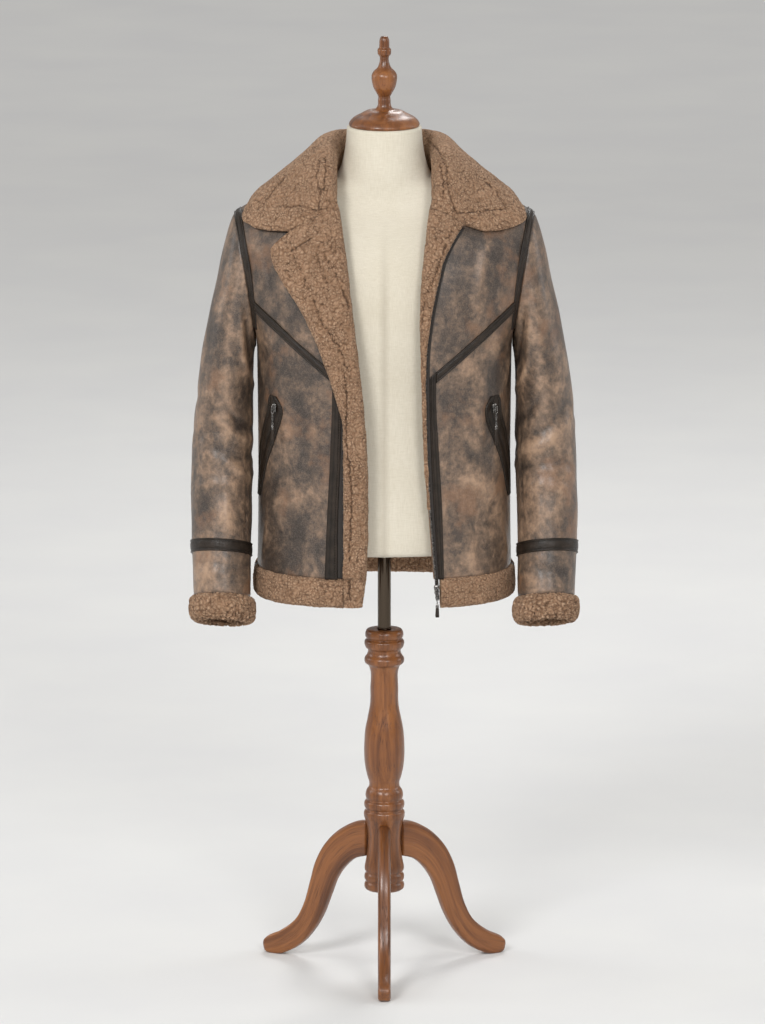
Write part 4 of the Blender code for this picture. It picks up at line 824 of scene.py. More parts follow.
# ---------------------------------------------------------------- fronts
# On each side a lower panel and a yoke, both sheepskin, joined by a slanted seam that runs from
# the armhole down to the front edge.
FRONTS = {"R": table(
    "z      edge    tape    placket_in placket_out",
    (0.606, 0.0430, 0.0530, 0.0716,    0.0935),
    (0.650, 0.0373, 0.0520, 0.0718,    0.0919),
    (0.7456, 0.0342, 0.0510, 0.0712,   0.0880),
    (0.855, 0.0357, 0.0500, 0.0668,    0.0826),
    (0.979, 0.0478, 0.0580, 0.0668,    0.0810),
    (1.071, 0.0585, 0.0680, 0.0770,    0.0930),
    (1.147, 0.0676, 0.0770, 0.0880,    0.1050),
    (1.215, 0.0775, 0.0880, 0.1000,    0.1150),
    (1.262, 0.0850, 0.0950, 0.1080,    0.1250),
), "L": table(
    "z      edge    tape    placket_in placket_out",
    (0.606, 0.0785, 0.0800, 0.0850,    0.0925),
    (0.650, 0.0768, 0.0783, 0.0833,    0.0915),
    (0.700, 0.0728, 0.0745, 0.0800,    0.0905),
    (0.777, 0.0672, 0.0692, 0.0752,    0.0878),
    (0.855, 0.0635, 0.0655, 0.0715,    0.0830),
    (0.934, 0.0615, 0.0635, 0.0695,    0.0790),
    (1.0185, 0.0605, 0.0655, 0.0715,   0.0830),
    (1.102, 0.0655, 0.0795, 0.0855,    0.0960),
    (1.162, 0.0720, 0.0985, 0.1045,    0.1150),
    (1.188, 0.0750, 0.1165, 0.1225,    0.1330),
    (1.215, 0.0775, 0.1250, 0.1310,    0.1420),
    (1.262, 0.0850, 0.1330, 0.1390,    0.1500),
)}
POCKET = table(
    "z      lip_in lip_out",
    (0.650, 0.860, 0.930), (0.765, 0.850, 0.930), (0.820, 0.740, 0.880), (0.850, 0.665, 0.810),
    (0.888, 0.585, 0.735), (0.935, 0.515, 0.665), (1.000, 0.520, 0.680), (1.262, 0.520, 0.680),
)
# Rows of a front: height near its edge, at the side seam or round the armhole in degrees, and how
# far the row follows the shoulder seam.
LOW_ROWS = table(
    "inner  side",
    (0.650, 0.650), (0.705, 0.705), (0.765, 0.765), (0.820, 0.820), (0.870, 0.880),
    (0.912, 0.935), (0.928, 0.975),
)
ARM_ROWS = table(
    "inner   turn   follow",
    (0.9370, 0.0, 0.0), (0.9430, 25.0, 0.0), (0.9500, 50.0, 0.0), (0.9584, 69.4, 0.0),
    (0.9670, 74.4, 0.0), (0.9756, 79.2, 0.0), (1.0250, 100.0, 0.1), (1.0900, 120.0, 0.3),
    (1.1550, 140.0, 0.6), (1.2150, 160.0, 0.8), (1.2360, 166.0, 0.9), (1.2515, 171.0, 0.95),
    (1.2610, 176.0, 1.0), (1.2642, 180.0, 1.0),
)
ROW_X, SEAM_ROW, UNDERARM_ROW = 0.080, 11, 7


def front_lattice(edges):
    """f and h of a front: rows from the hem to the shoulder, columns from the edge to the side."""
    low = len(LOW_ROWS["side"])
    side_h = np.append((LOW_ROWS["side"] - HEM_TOP) / (UNDERARM - HEM_TOP),
                       arm_share(-1, ARM_ROWS["turn"]))
    side_point = body_point(-1, np.ones(len(side_h)), side_h)
    inner_z = np.append(LOW_ROWS["inner"], ARM_ROWS["inner"])
    follow = np.append(np.zeros(low), ARM_ROWS["follow"])
    f = np.tile(np.linspace(0.1, 1, 10), (len(side_h), 1))
    h = np.tile(side_h[:, None], (1, 10))
    inset = inset_share(-1, side_h, STRIP_WIDTH)
    for _ in range(LATTICE_ROUNDS):
        x = body_point(-1, f, h)[..., 0]
        over = (x - ROW_X) / (side_point[:, None, 0] - ROW_X)
        straight = inner_z[:, None] + (side_point[:, None, 2] - inner_z[:, None]) * over
        top = ridge(np.array(ROW_X)) + (SHOULDER["z"][7] - ridge(np.array(ROW_X))) * over
        z = straight + follow[:, None] * (ridge(x) - top)
        h = height_share(-1, x, z)
        h[-1] = 2
        for k, name in enumerate(("edge", "tape", "placket_in", "placket_out")):
            f[:, k] = share_at(-1, h[:, k], smooth(z[:, k], edges["z"], edges[name]))
        lip_in = smooth(z[:, 6], POCKET["z"], POCKET["lip_in"])
        lip_out = smooth(z[:, 7], POCKET["z"], POCKET["lip_out"])
        f[:, 4] = f[:, 3] + (lip_in - f[:, 3]) / 3
        f[:, 5], f[:, 6] = f[:, 3] + (lip_in - f[:, 3]) * 2 / 3, lip_in
        f[:, 7] = np.minimum(lip_out, inset - 0.02)
        f[:, 8], f[:, 9], h[:, 9] = inset, 1, side_h
    return f, h


def on_side(side, hand, f, h):
    """Points of the coat's outside for one hand, and the directions out of them."""
    return mirrored(body_point(side, f, h), hand), mirrored(body_normal(side, f, h), hand)


lattices = {hand: front_lattice(FRONTS[hand]) for hand in "RL"}
PANEL_TONE = {("front_panel", "R"): -0.09, ("front_panel", "L"): 0.03,
        ("chest_yoke", "R"): -0.08, ("chest_yoke", "L"): -0.04}
for hand, (coarse_f, coarse_h) in lattices.items():
    for name, node, rows, flat, area in (
        ("front_panel", "lower", slice(0, SEAM_ROW + 1), (0.26, 0.36), 0.080),
        ("chest_yoke", "yoke", slice(SEAM_ROW, None), (0.20, 0.33), 0.045),
    ):
        f, h = finer(-1, coarse_f[rows], coarse_h[rows], 0.0035)
        points, normals = on_side(-1, hand, f, h)
        lift = relief(-1, HAND[hand] * f, points)
        piece = leather_shell(f"{name}_{hand}", points, normals, lift, f"front_{hand}_{node}",
                              worn=PANEL_TONE[name, hand])

# ---------------------------------------------------------------- sleeves and cuffs
# Each sleeve is one sheepskin tube, seamed along its inner side, from the armhole to the strap,
# and a short tube of the same leather below it.
SLEEVE = table(
    "out_x   out_z   in_x    in_z    middle   depth   tilt",
    (0.2400, 1.1760, 0.1986, 0.9885,  0.000,  0.0665,  0.0),
    (0.2475, 1.1460, 0.1998, 0.9835,  0.000,  0.0680,  0.0),
    (0.2565, 1.1040, 0.2010, 0.9740,  0.000,  0.0695,  0.0),
    (0.2665, 1.0600, 0.2018, 0.9580,  0.000,  0.0700,  0.0),
    (0.2770, 1.0080, 0.2022, 0.9350,  0.000,  0.0695,  0.0),
    (0.2862, 0.9530, 0.2024, 0.9020, -0.001,  0.0675,  1.0),
    (0.2932, 0.8880, 0.2024, 0.8580, -0.005,  0.0650,  4.0),
    (0.2970, 0.8240, 0.2032, 0.8060, -0.014,  0.0620,  9.0),
    (0.2988, 0.7520, 0.2048, 0.7440, -0.031,  0.0575, 14.5),
    (0.2978, 0.6940, 0.2061, 0.6885, -0.0473, 0.0540, 17.5),
    (0.2975, 0.6845, 0.2062, 0.6790, -0.0503, 0.0535, 18.0),
    (0.2970, 0.6750, 0.2062, 0.6700, -0.0532, 0.0530, 18.0),
    (0.2955, 0.6430, 0.2064, 0.6390, -0.0630, 0.0515, 18.5),
    (0.2940, 0.6110, 0.2066, 0.6080, -0.0730, 0.0500, 18.5),
)
STRAP_ROWS = (10, 11, 12)         # strap's upper edge, the seam below it, its lower edge
turns = np.radians(np.concatenate([SLEEVE_TURNS, 360 - SLEEVE_TURNS[-2:0:-1]]))
climb = (1 - np.cos(turns)) / 2
x = BODY["half_width"][-1] + ARM_REACH * climb**ARM_LEAN
head = np.stack([x + GAP, -ARM_DEPTH * np.sin(turns), UNDERARM + climb * (ridge(x) - UNDERARM)],
                axis=-1)
lean = np.radians(SLEEVE["tilt"])
middle = np.stack([(SLEEVE["out_x"] + SLEEVE["in_x"]) / 2, SLEEVE["middle"],
                   (SLEEVE["out_z"] + SLEEVE["in_z"]) / 2], axis=-1)
reach = np.stack([(SLEEVE["out_x"] - SLEEVE["in_x"]) / 2, 0 * lean,
                  (SLEEVE["out_z"] - SLEEVE["in_z"]) / 2], axis=-1)
fore = SLEEVE["depth"][:, None] * np.stack([0 * lean, -np.cos(lean), np.sin(lean)], axis=-1)
# A ring is middle - reach * cos(turn) + fore * sin(turn); turn 0 is the inner side, 90 the front.
rings = middle - reach * np.cos(turns)[:, None, None] + fore * np.sin(turns)[:, None, None]
sleeve_rings = np.concatenate([head[:, None], rings], axis=1)

# Folds of the sleeves: degrees round from the inner side by the front, distance down from the
# armhole, direction, half length, width, height and bow.
SLEEVE_FOLDS = {
    "R": (
        (40, 0.06, 62, 0.05, 0.009, -0.003, 1.0), (62, 0.085, 70, 0.055, 0.01, 0.0026, 0.8),
        (30, 0.12, 40, 0.04, 0.008, 0.0022, 2.0), (95, 0.16, 84, 0.08, 0.014, 0.0022, 0.6),
        (52, 0.215, 20, 0.045, 0.008, -0.0026, 3.0), (60, 0.24, 14, 0.05, 0.009, 0.0024, 3.0),
        (120, 0.245, -24, 0.04, 0.009, -0.002, -2.0), (78, 0.275, 6, 0.055, 0.009, -0.0024, 2.5),
        (45, 0.305, 24, 0.04, 0.008, 0.002, 2.0), (105, 0.33, -12, 0.045, 0.01, 0.002, -1.5),
        (80, 0.4, 86, 0.06, 0.013, 0.002, 0.3), (130, 0.39, 95, 0.06, 0.013, -0.0018, 0.0),
        (70, 0.462, 10, 0.03, 0.008, -0.0018, 2.0), (115, 0.47, -8, 0.03, 0.008, 0.0016, 2.0),
        (215, 0.2, 16, 0.05, 0.009, -0.0028, 2.0), (245, 0.232, 8, 0.055, 0.01, 0.0026, 2.0),
        (230, 0.262, -14, 0.05, 0.008, -0.0024, -2.0), (290, 0.245, -30, 0.045, 0.009, 0.002, 1.0),
        (260, 0.12, 96, 0.07, 0.013, 0.0024, -0.5), (300, 0.08, 112, 0.05, 0.01, -0.0028, 0.0),
        (250, 0.4, 92, 0.065, 0.013, 0.002, 0.4), (210, 0.44, 80, 0.04, 0.011, -0.0016, 0.0),
        (335, 0.27, 4, 0.04, 0.008, -0.0024, 0.0), (330, 0.3, -6, 0.04, 0.008, 0.002, 0.0),
    ),
    "L": (
        (42, 0.055, 58, 0.05, 0.009, -0.003, 0.8), (66, 0.09, 66, 0.055, 0.011, 0.0026, 0.8),
        (34, 0.13, 36, 0.04, 0.008, 0.002, 2.0), (88, 0.15, 90, 0.08, 0.014, 0.0024, -0.5),
        (56, 0.195, 26, 0.045, 0.009, -0.0022, 2.5), (96, 0.23, 18, 0.05, 0.009, -0.0026, 3.0),
        (100, 0.252, 12, 0.055, 0.01, 0.0026, 3.0), (60, 0.262, 4, 0.045, 0.008, 0.0022, -2.0),
        (84, 0.292, -6, 0.055, 0.009, -0.0026, -2.5), (125, 0.31, -20, 0.04, 0.009, 0.002, 0.0),
        (92, 0.33, -12, 0.05, 0.01, 0.0022, -2.0), (76, 0.395, 92, 0.055, 0.012, 0.002, 0.4),
        (128, 0.405, 84, 0.06, 0.013, -0.0018, 0.0), (96, 0.468, -12, 0.03, 0.008, -0.0018, 2.0),
        (222, 0.215, 12, 0.05, 0.009, -0.0028, -2.0), (238, 0.245, 4, 0.055, 0.01, 0.0026, 2.0),
        (252, 0.275, -10, 0.05, 0.008, -0.0024, 2.0), (285, 0.225, -26, 0.045, 0.009, 0.002, 1.0),
        (255, 0.13, 86, 0.07, 0.013, 0.0024, 0.5), (296, 0.085, 108, 0.05, 0.01, -0.0028, 0.0),
        (246, 0.41, 86, 0.065, 0.013, 0.002, -0.4), (332, 0.255, 6, 0.04, 0.008, -0.0024, 0.0),
        (328, 0.285, -4, 0.04, 0.008, 0.002, 0.0),
    ),
}
SLEEVE_RADIUS, SLEEVE_SEAM = 0.055, 34.0   # mean radius, and degrees round to the long seam


def tube(points, step_round, step_along):
    """A grid of rings, first axis round, made finer, with rows closer together at its two ends."""
    grid = resample(points, step_round, 0, wrap=True)
    lengths = np.linalg.norm(np.diff(grid, axis=1), axis=-1).mean(axis=0)
    knots = np.append(0, np.cumsum(lengths))
    at = edged(knots[-1], math.ceil(knots[-1] / step_along))
    return np.moveaxis(smooth(at, knots, np.moveaxis(grid, 1, 0)), 0, 1), at


def turned_out(normals, points, middle):
    """The directions, all of them turned round if most of them point to the middle."""
    return normals * np.sign((normals * (points - middle)).sum())


top = STRAP_ROWS[1]
for hand in "RL":
    down = 0.0
    for name, node, rows, flat, area in (
        ("sleeve_leather", "sleeve", slice(0, top + 1), (0.44, 0.54), 0.138),
        ("cuff_leather", "cuff", slice(top, None), (0.33, 0.075), 0.0225),
    ):
        points, at = tube(mirrored(sleeve_rings[:, rows], hand), 0.0044, 0.0046)
        normals = turned_out(outward(points, wrap_rows=True), points, points.mean(axis=0))
        degrees = np.arange(len(points))[:, None] * 360 / len(points) + 0 * at
        placed = [(math.radians(g) * SLEEVE_RADIUS, -d, *rest)
                  for g, d, *rest in SLEEVE_FOLDS[hand]]
        folds = 0
        for wrap in (-360, 0, 360):
            arc = np.radians(degrees + wrap) * SLEEVE_RADIUS
            folds = folds + folded(arc, -(at + down)[None], placed)
        # The folds die out at the armhole and under the strap.
        joint = at[-1] - at if down == 0 else at
        ends = np.clip((joint - 0.011) / 0.035, 0, 1)
        if down == 0:
            ends = ends * np.clip(at / 0.03, 0, 1)
        lift = (folds + 0.0010 * swell(points, 8, 0.070)) * ends
        # The long seam is a groove with a low ridge beside it, where the edges are turned one way.
        seam = (degrees - SLEEVE_SEAM) * math.radians(1) * SLEEVE_RADIUS
        lift = (lift - 0.0014 * np.exp(-((seam / DIP_WIDTH) ** 2))
                + 0.0007 * np.exp(-(((seam + 0.006) / 0.004) ** 2)))
        piece = leather_shell(f"{name}_{hand}", points, normals, lift, f"{node}_{hand}", True, 0.06)
        down = at[-1]

# ---------------------------------------------------------------- dark leather strips
# Smooth black-brown leather strips cover the slanted seams, the front edges and the armholes.
# Each is folded under at its edges and sewn down along two sunk lines.
wire, end = finish("dark_leather", Specular_IOR_Level=0.3)
place = wire.place()
cells = wire.node("TexVoronoi", {"feature": "DISTANCE_TO_EDGE"},
                  {"Vector": place, "Scale": 780.0}).between(0.0, 0.25)
rub = wire.noise(place, 60.0, 4.0, 0.6)
# Lighter on the strips' raised bars and darker in their sunk lines and edges: partly rubbed wear,
# partly painted highlight and painted shade.
worn = wire.attribute("worn", 2)
tone = (0.5 * rub + 0.5 * worn).ramp((0.25, (0.006, 0.004, 0.0025)), (0.60, (0.012, 0.008, 0.005)),
                                     (1.00, (0.056, 0.038, 0.027)))
DARK = end(Base_Color=tone, Roughness=0.26 + 0.20 * rub,
           Normal=wire.bump(rub, 0.0004, wire.bump(cells, 0.00009)))

wire, end = finish("waxed_thread", Roughness=0.6)
strands = wire.noise(wire.place(), 1400.0, 1.0)
THREAD = end(Base_Color=strands.ramp((0.3, (0.035, 0.025, 0.019)), (0.7, (0.120, 0.090, 0.068))))

TRIM = 0.0019                     # thickness of a folded strip
# Places across a strip, from 0 to 1.
BAND = np.array([0, 0.015, 0.04, 0.08, 0.13, 0.17, 0.20, 0.23, 0.28, 0.36, 0.44, 0.5])
BAND = np.concatenate([BAND, 1 - BAND[-2::-1]])


def band(across, grooves):
    """Height of a strip across its width, 0 to 1: a rounded bar between each two sunk lines."""
    ends = np.array([0, *grooves, 1])
    bar = np.clip(np.searchsorted(ends, across, side="right") - 1, 0, len(grooves))
    share = (across - ends[bar]) / (ends[bar + 1] - ends[bar])
    dome = np.sqrt(np.clip(1 - np.abs(2 * share - 1) ** 2.6, 0, 1))
    return dome * 0.75 + 0.25 * (across > 0) * (across < 1)


def between_points(at, knots, values):
    """Vectors at places between those at the knots, on straight lines."""
    return np.stack([np.interp(at, knots, values[:, i]) for i in range(3)], axis=-1)


STITCH_PITCH = 0.0042
stitches = []                     # middle, run and outward direction of every stitch


def sew(line, normals):
    """Adds stitches a pitch apart along a line of points that lies on the cloth."""
    lengths = np.append(0, np.cumsum(np.linalg.norm(np.diff(line, axis=0), axis=1)))
    at = np.arange(STITCH_PITCH / 2, lengths[-1], STITCH_PITCH)
    spots, ahead = [between_points(place, lengths, line) for place in (at, at + 0.001)]
    out = unit(between_points(at, lengths, normals))
    keep = np.linalg.norm(ahead - spots, axis=1) > 1e-5
    stitches.append(np.stack([spots, unit(ahead - spots + 1e-12), out], axis=1)[keep])


def strip(name, points, normals, grooves, node, thick=TRIM, base=(0.0002, 0.0001),
          thread=TRIM * 0.52, wrap=False):
    """A folded leather strip on a grid of points, sewn down in its first and last groove.

    base is how high its face and its back lie at its edges, and thread how high the stitches do.
    """
    face = band(BAND, grooves)
    height = base[0] + thick * face[None, :, None]
    # Colour lighter on top of each bar and darker in the sunk lines: partly wear, partly painted
    # highlight and painted shade.
    worn = np.broadcast_to(0.35 + 0.55 * face, points.shape[:2])
    vertices, faces = shell(points + normals * height, points + normals * base[1], wrap)
    piece = build(name, vertices, faces, [DARK], worn=np.tile(worn.ravel(), 2))
    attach(piece, "form_and_coat")
    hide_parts(node)
    for groove in (grooves[0], grooves[-1]):
        k = np.abs(BAND - groove).argmin()
        line, out = points[:, k] + normals[:, k] * thread, normals[:, k]
        if wrap:
            line, out = np.concatenate([line, line[:1]]), np.concatenate([out, out[:1]])
        sew(line, out)
    return piece


def front_share(x, z):
    """f and h of the front at x and z."""
    h = height_share(-1, x, z)
    return share_at(-1, h, x), h


def on_front(x, z):
    """Point and outward direction of the front at x and z."""
    share = front_share(x, z)
    return body_point(-1, *share), body_normal(-1, *share)


def on_folds(hand, x, z):
    """Points of a front at x and z with its folds, and the directions out of them."""
    f, h = front_share(x, z)
    points, normals = on_side(-1, hand, f, h)
    return points + normals * relief(-1, HAND[hand] * f, points)[..., None], normals


YOKE_LIFT, ARMHOLE_DRAW = 0.0004, 0.0012
for hand, (coarse_f, coarse_h) in lattices.items():
    for name, node, rows, columns, grooves, flat in (
        ("yoke_trim", "yoke_strip", slice(SEAM_ROW - 1, SEAM_ROW + 2), slice(3, 9), (0.20, 0.80),
         (0.014, 0.21)),
        ("placket_trim", "placket_strip", slice(0, SEAM_ROW + 2), slice(2, 4), (0.20, 0.62),
         (0.0175 if hand == "R" else 0.0130, 0.34)),
    ):
        grid = body_point(-1, coarse_f[rows, columns], coarse_h[rows, columns])
        if name == "yoke_trim":   # its long way is across the front
            grid = grid.swapaxes(0, 1)
        grid = resample(grid, 0.0030)
        grid = smooth(BAND, np.linspace(0, 1, grid.shape[1]), grid.swapaxes(0, 1)).swapaxes(0, 1)
        points, normals = on_folds(hand, grid[..., 0], grid[..., 2])
        if name == "yoke_trim":
            points = points + normals * YOKE_LIFT
        piece = strip(f"{name}_{hand}", points, normals, grooves, f"{node}_{hand}")
    # The armhole strip runs up the front and down the back, from 50 degrees past the underarm.
    points, normals = body_point(-1, coarse_f, coarse_h), body_normal(-1, coarse_f, coarse_h)
    first, low = UNDERARM_ROW + 2, len(BACK_LOW_ROWS) + 2
    aft, aft_out = back_points[low:, -2:][::-1], back_normals[low:, -2:][::-1]
    fore, fore_out = points[first:, 8:10], normals[first:, 8:10]
    loop = np.concatenate([fore[:-1], (fore[-1:] + aft[:1]) / 2, aft[1:]])
    out = unit(np.concatenate([fore_out[:-1], fore_out[-1:] + aft_out[:1], aft_out[1:]]))
    pair = resample(np.concatenate([loop, out * 0.002], axis=-1), 0.0030)
    loop, out = pair[..., :3], unit(pair[..., 3:])
    # Drawn in from the sleeve, then spread across the band's places.
    loop[:, 1] += unit(loop[:, 0] - loop[:, 1]) * ARMHOLE_DRAW
    across = BAND[None, :, None]
    loop = mirrored(loop[:, :1] * (1 - across) + loop[:, 1:] * across, hand)
    out = mirrored(unit(out[:, :1] * (1 - across) + out[:, 1:] * across), hand)
    piece = strip(f"armhole_trim_{hand}", loop, out, (0.20, 0.80), f"armhole_strip_{hand}")

# ---------------------------------------------------------------- straps over the cuffs
# A plain dark strap goes round each sleeve over the seam above the cuff.
for hand in "RL":
    rows = slice(STRAP_ROWS[0], STRAP_ROWS[2] + 1)
    ring = resample(mirrored(sleeve_rings[:, rows], hand), 0.0030, 0, wrap=True)
    ring = ring[:, :1] * (1 - BAND[None, :, None]) + ring[:, 2:] * BAND[None, :, None]
    out = turned_out(outward(ring, wrap_rows=True), ring, ring.mean(axis=0))
    piece = strip(f"cuff_strap_{hand}", ring, out, (0.14, 0.86), f"cuff_band_{hand}",
                  base=(0.0006, 0.0003), thread=TRIM * 0.7, wrap=True)

# ---------------------------------------------------------------- pocket welts
# Each slanted pocket opens between two lips of dark leather, a leaf shape with a round top end.
LIPS = table(
    "z     inner_x outer_x",
    (0.764, 0.1906, 0.1938), (0.779, 0.1878, 0.1937), (0.802, 0.1838, 0.1935),
    (0.825, 0.1785, 0.193), (0.848, 0.1712, 0.1906), (0.87, 0.1644, 0.1873),
    (0.895, 0.1562, 0.1816), (0.905, 0.1546, 0.1796), (0.913, 0.1556, 0.1786),
    (0.922, 0.1602, 0.1776), (0.929, 0.1652, 0.1754),
)
for hand in "RL":
    z = np.linspace(LIPS["z"][0], LIPS["z"][-1], 66)
    inner_x, outer_x = [smooth(z, LIPS["z"], LIPS[c])[:, None] for c in ("inner_x", "outer_x")]
    x, z = inner_x + (outer_x - inner_x) * BAND, z[:, None] + 0 * BAND
    points, normals = on_folds(hand, x, z)
    piece = strip(f"pocket_lips_{hand}", points, normals, (0.13, 0.44, 0.87),
                  f"pocket_welt_{hand}", thick=0.0021, thread=0.0012)

# ---------------------------------------------------------------- side tabs of the hem
# At each side seam a dark leather tab joins the front's and the back's wool hem bands.
HEM_FUR = table(
    "z      outside  inside",
    (HEM_BOTTOM, -0.0005, -0.0050), (0.6095, 0.0035, -0.0080), (0.6200, 0.0052, -0.0090),
    (0.6380, 0.0050, -0.0090), (0.6465, 0.0036, -0.0085), (HEM_TOP - GAP, 0.0008, -0.0080),
)
TAB_SHARE = 0.965                 # where the front's and the back's bands give way to the tab
TAB_HEIGHT, TAB_ROUND, TAB_ROUND_WIDTH = 0.0042, 0.0016, 0.0018
for hand in "RL":
    z = np.linspace(0.6095, 0.6465, 20)
    share = np.linspace(TAB_SHARE + 0.0013, 1.0, 7)
    grid_f, grid_h = np.meshgrid(share, (z - HEM_TOP) / (UNDERARM - HEM_TOP))
    grid_f = np.minimum(grid_f, 0.992)
    points, normals = [np.concatenate([fore[:, :-1], aft[:, -2::-1]], axis=1) for fore, aft in
                       zip(*(on_side(side, hand, grid_f, grid_h) for side in (-1, 1)))]
    dip = np.exp(-((edge_distance(points) / TAB_ROUND_WIDTH) ** 2))[..., None]
    height = TAB_HEIGHT - TAB_ROUND * dip
    vertices, faces = shell(points + normals * height, points - normals * HIDE)
    piece = build(f"side_tab_{hand}", vertices, faces, [DARK],
                  worn=np.full(len(vertices), 0.6))
    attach(piece, "form_and_coat")
    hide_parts(f"hem_tab_{hand}")

# ---------------------------------------------------------------- wool hem bands
# Below the panels the sheepskin is turned up, wool outside, in a soft roll that goes round the hem.
def scattered(cells):
    """Three numbers from 0 to 1 for each cell of whole coordinates, always the same ones."""
    key = cells.astype(np.int64) * np.array([73856093, 19349663, 83492791])
    key = key[..., 0] ^ key[..., 1] ^ key[..., 2]
    found = []
    for salt in (0x9E3779B1, 0x85EBCA6B, 0xC2B2AE35):
        mixed = (key ^ (key >> 15)) * salt & 0xFFFFFFFF
        mixed = (mixed ^ (mixed >> 13)) * 0x27D4EB2F & 0xFFFFFFFF
        found.append(((mixed ^ (mixed >> 16)) & 0xFFFF) / 65536)
    return np.stack(found, axis=-1)


def curls(points, size):
    """Height from 0 to 1 of close-packed round curls about a size across.

    Space is cut into cells, each with a centre at a random place in it. The height is a dome round
    the nearest centre, and falls to 0 where the second nearest is as near, in the cleft.
    """
    cell = np.floor(points / size)
    best = np.full(points.shape[:-1], 9.0)
    second = best.copy()
    for step in np.ndindex(3, 3, 3):
        near = cell + np.array(step) - 1
        centre = (near + 0.5 + 0.8 * (scattered(near) - 0.5)) * size
        away = np.linalg.norm(centre - points, axis=-1) / size
        second = np.minimum(second, np.maximum(best, away))
        best = np.minimum(best, away)
    cleft = np.clip((second - best) / 0.32, 0, 1)
    return cleft * (2 - cleft) * 0.75 + 0.25 * np.clip(1 - best**2, 0, 1)


def ruffled(points, size):
    """The points shifted by gentle waves of a few sizes, so that rows of curls aren't straight."""
    shift = np.stack([swell(points, seed, size * 3.5) for seed in (21, 22, 23)], axis=-1)
    return points + 0.45 * size * shift


PARTING_DEPTH = 0.0022


def wool_roll(name, loops, node, size, depth, step, wrap=False, cuts=(), coarse=0.3):
    """Curly wool on a closed skin: loops of points, first axis along it, second one round it.

    cuts are partings in the wool, lines of x and height as seen from in front and a little above.
    coarse is a number, or one at each loop, from 0 for small tufts to 1 for large ones.
    """
    grid = resample(loops, step, 0, wrap=wrap)
    grid = resample(grid, step, 1, wrap=True, even=True)
    normals = turned_out(outward(grid, wrap_rows=wrap, wrap_columns=True), grid,
                         grid.mean(axis=1, keepdims=True))
    places = ruffled(grid, size)
    big, small = curls(places, size), curls(places + 3.0, size * 0.62)
    blend = coarse + 0.5 * np.clip(swell(grid, 31, 0.045), -coarse, 1 - coarse)
    curl = big * blend + small * (1 - blend)
    height = depth * (curl - 0.45) * (0.55 + 0.45 * blend) + 0.0006 * swell(grid, 33, 0.03)
    seen = np.stack([grid[..., 0], grid[..., 1] * math.sin(CAMERA_LIFT)
                     + (grid[..., 2] - AIM_Z) * math.cos(CAMERA_LIFT)], axis=-1)
    seen = seen + 0.0014 * np.stack([swell(grid, seed, 0.011) for seed in (34, 35)], axis=-1)
    broken = np.clip(0.85 + 0.5 * swell(grid, 36, 0.012), 0.45, 1) * (normals[..., 1] < 0.2)
    parting = np.zeros(curl.shape)
    for width, line in cuts:
        line = np.array(line)
        for a, b in zip(line[:-1], line[1:]):
            share = np.clip(((seen - a) @ (b - a)) / ((b - a) @ (b - a)), 0, 1)[..., None]
            away = np.linalg.norm(seen - a - share * (b - a), axis=-1)
            parting = np.maximum(parting, np.exp(-((away / (1.15 * width)) ** 2)) * broken)
    grid = grid + normals * (height - PARTING_DEPTH * parting)[..., None]
    rows, columns = grid.shape[:2]
    faces = [patch(rows, columns, wrap, True), *([] if wrap else end_caps(rows, columns))]
    # The colour attribute curl is lighter on curl tops and darker in clefts and partings: painted
    # highlight and painted shade.
    piece = build(name, grid + np.array([0, ORIGIN_Y, 0]), faces, [WOOL],
                  curl=(curl - 1.5 * parting).ravel(), coarse=np.clip(blend, 0, 1).ravel())
    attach(piece, "form_and_coat")
    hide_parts(node)
    return piece


def round_loops(outer, inner):
    """Loops of points that run over an outer grid's rows and back along an inner one's."""
    return np.concatenate([outer, inner[:, ::-1]], axis=1)


first_h = np.array((HEM_BOTTOM - HEM_TOP) / (UNDERARM - HEM_TOP))
along = np.array([0, 0.18, 0.36, 0.54, 0.70, 0.82, 0.92, 1])
for name, node, side, hand, start, run in (
    ("wool_hem_R", "hem_fur_R", -1, "R", 0.0632, 0.20),
    ("wool_hem_L", "hem_fur_L", -1, "L", 0.0872, 0.175),
    ("wool_hem_back", "back_hem_fur", 1, "both", None, 0.52),
):
    first = 0 if start is None else share_at(side, first_h, np.array(start))
    share, z = np.meshgrid(first + (TAB_SHARE - first) * along, HEM_FUR["z"], indexing="ij")
    h = (z - HEM_TOP) / (UNDERARM - HEM_TOP)
    points, normals = body_point(side, share, h), body_normal(side, share, h)
    loops = round_loops(*(points + normals * HEM_FUR[face][:, None]
                          for face in ("outside", "inside")))
    if hand == "both":
        loops = both_halves(loops.swapaxes(0, 1)).swapaxes(0, 1)
    else:
        loops = mirrored(loops, hand)
    piece = wool_roll(name, loops, node, 0.0060, 0.0026, 0.0015)
    "coat_back" if hand == "both" else f"front_panel_{hand}"

# ---------------------------------------------------------------- wool cuffs
# The sleeve's end is turned up, wool outside, in a thick ring of larger curls.
CUFF_FUR = table(
    "drop    outside inside",
    (0.0006, 0.0010, -0.0080), (0.0040, 0.0052, -0.0080), (0.0140, 0.0072, -0.0075),
    (0.0260, 0.0068, -0.0070), (0.0350, 0.0035, -0.0072), (0.0385, -0.0015, -0.0060),
)
for hand in "RL":
    rings = mirrored(sleeve_rings, hand)
    last = rings[:, -1]
    out = outward(resample(rings, 0.01, 1)[:, -3:], wrap_rows=True)[:, -1]
    out = turned_out(out, last, last.mean(axis=0))
    down = unit(last.mean(axis=0) - rings[:, -2].mean(axis=0))
    out = unit(out - (out @ down)[:, None] * down)
    drop = down * CUFF_FUR["drop"][:, None]
    loops = round_loops(*(last[:, None] + drop + out[:, None] * CUFF_FUR[face][:, None]
                          for face in ("outside", "inside")))
    piece = wool_roll(f"wool_cuff_{hand}", loops, f"cuff_fur_{hand}", 0.0068, 0.0032, 0.00135,
                      wrap=True, coarse=1.0)

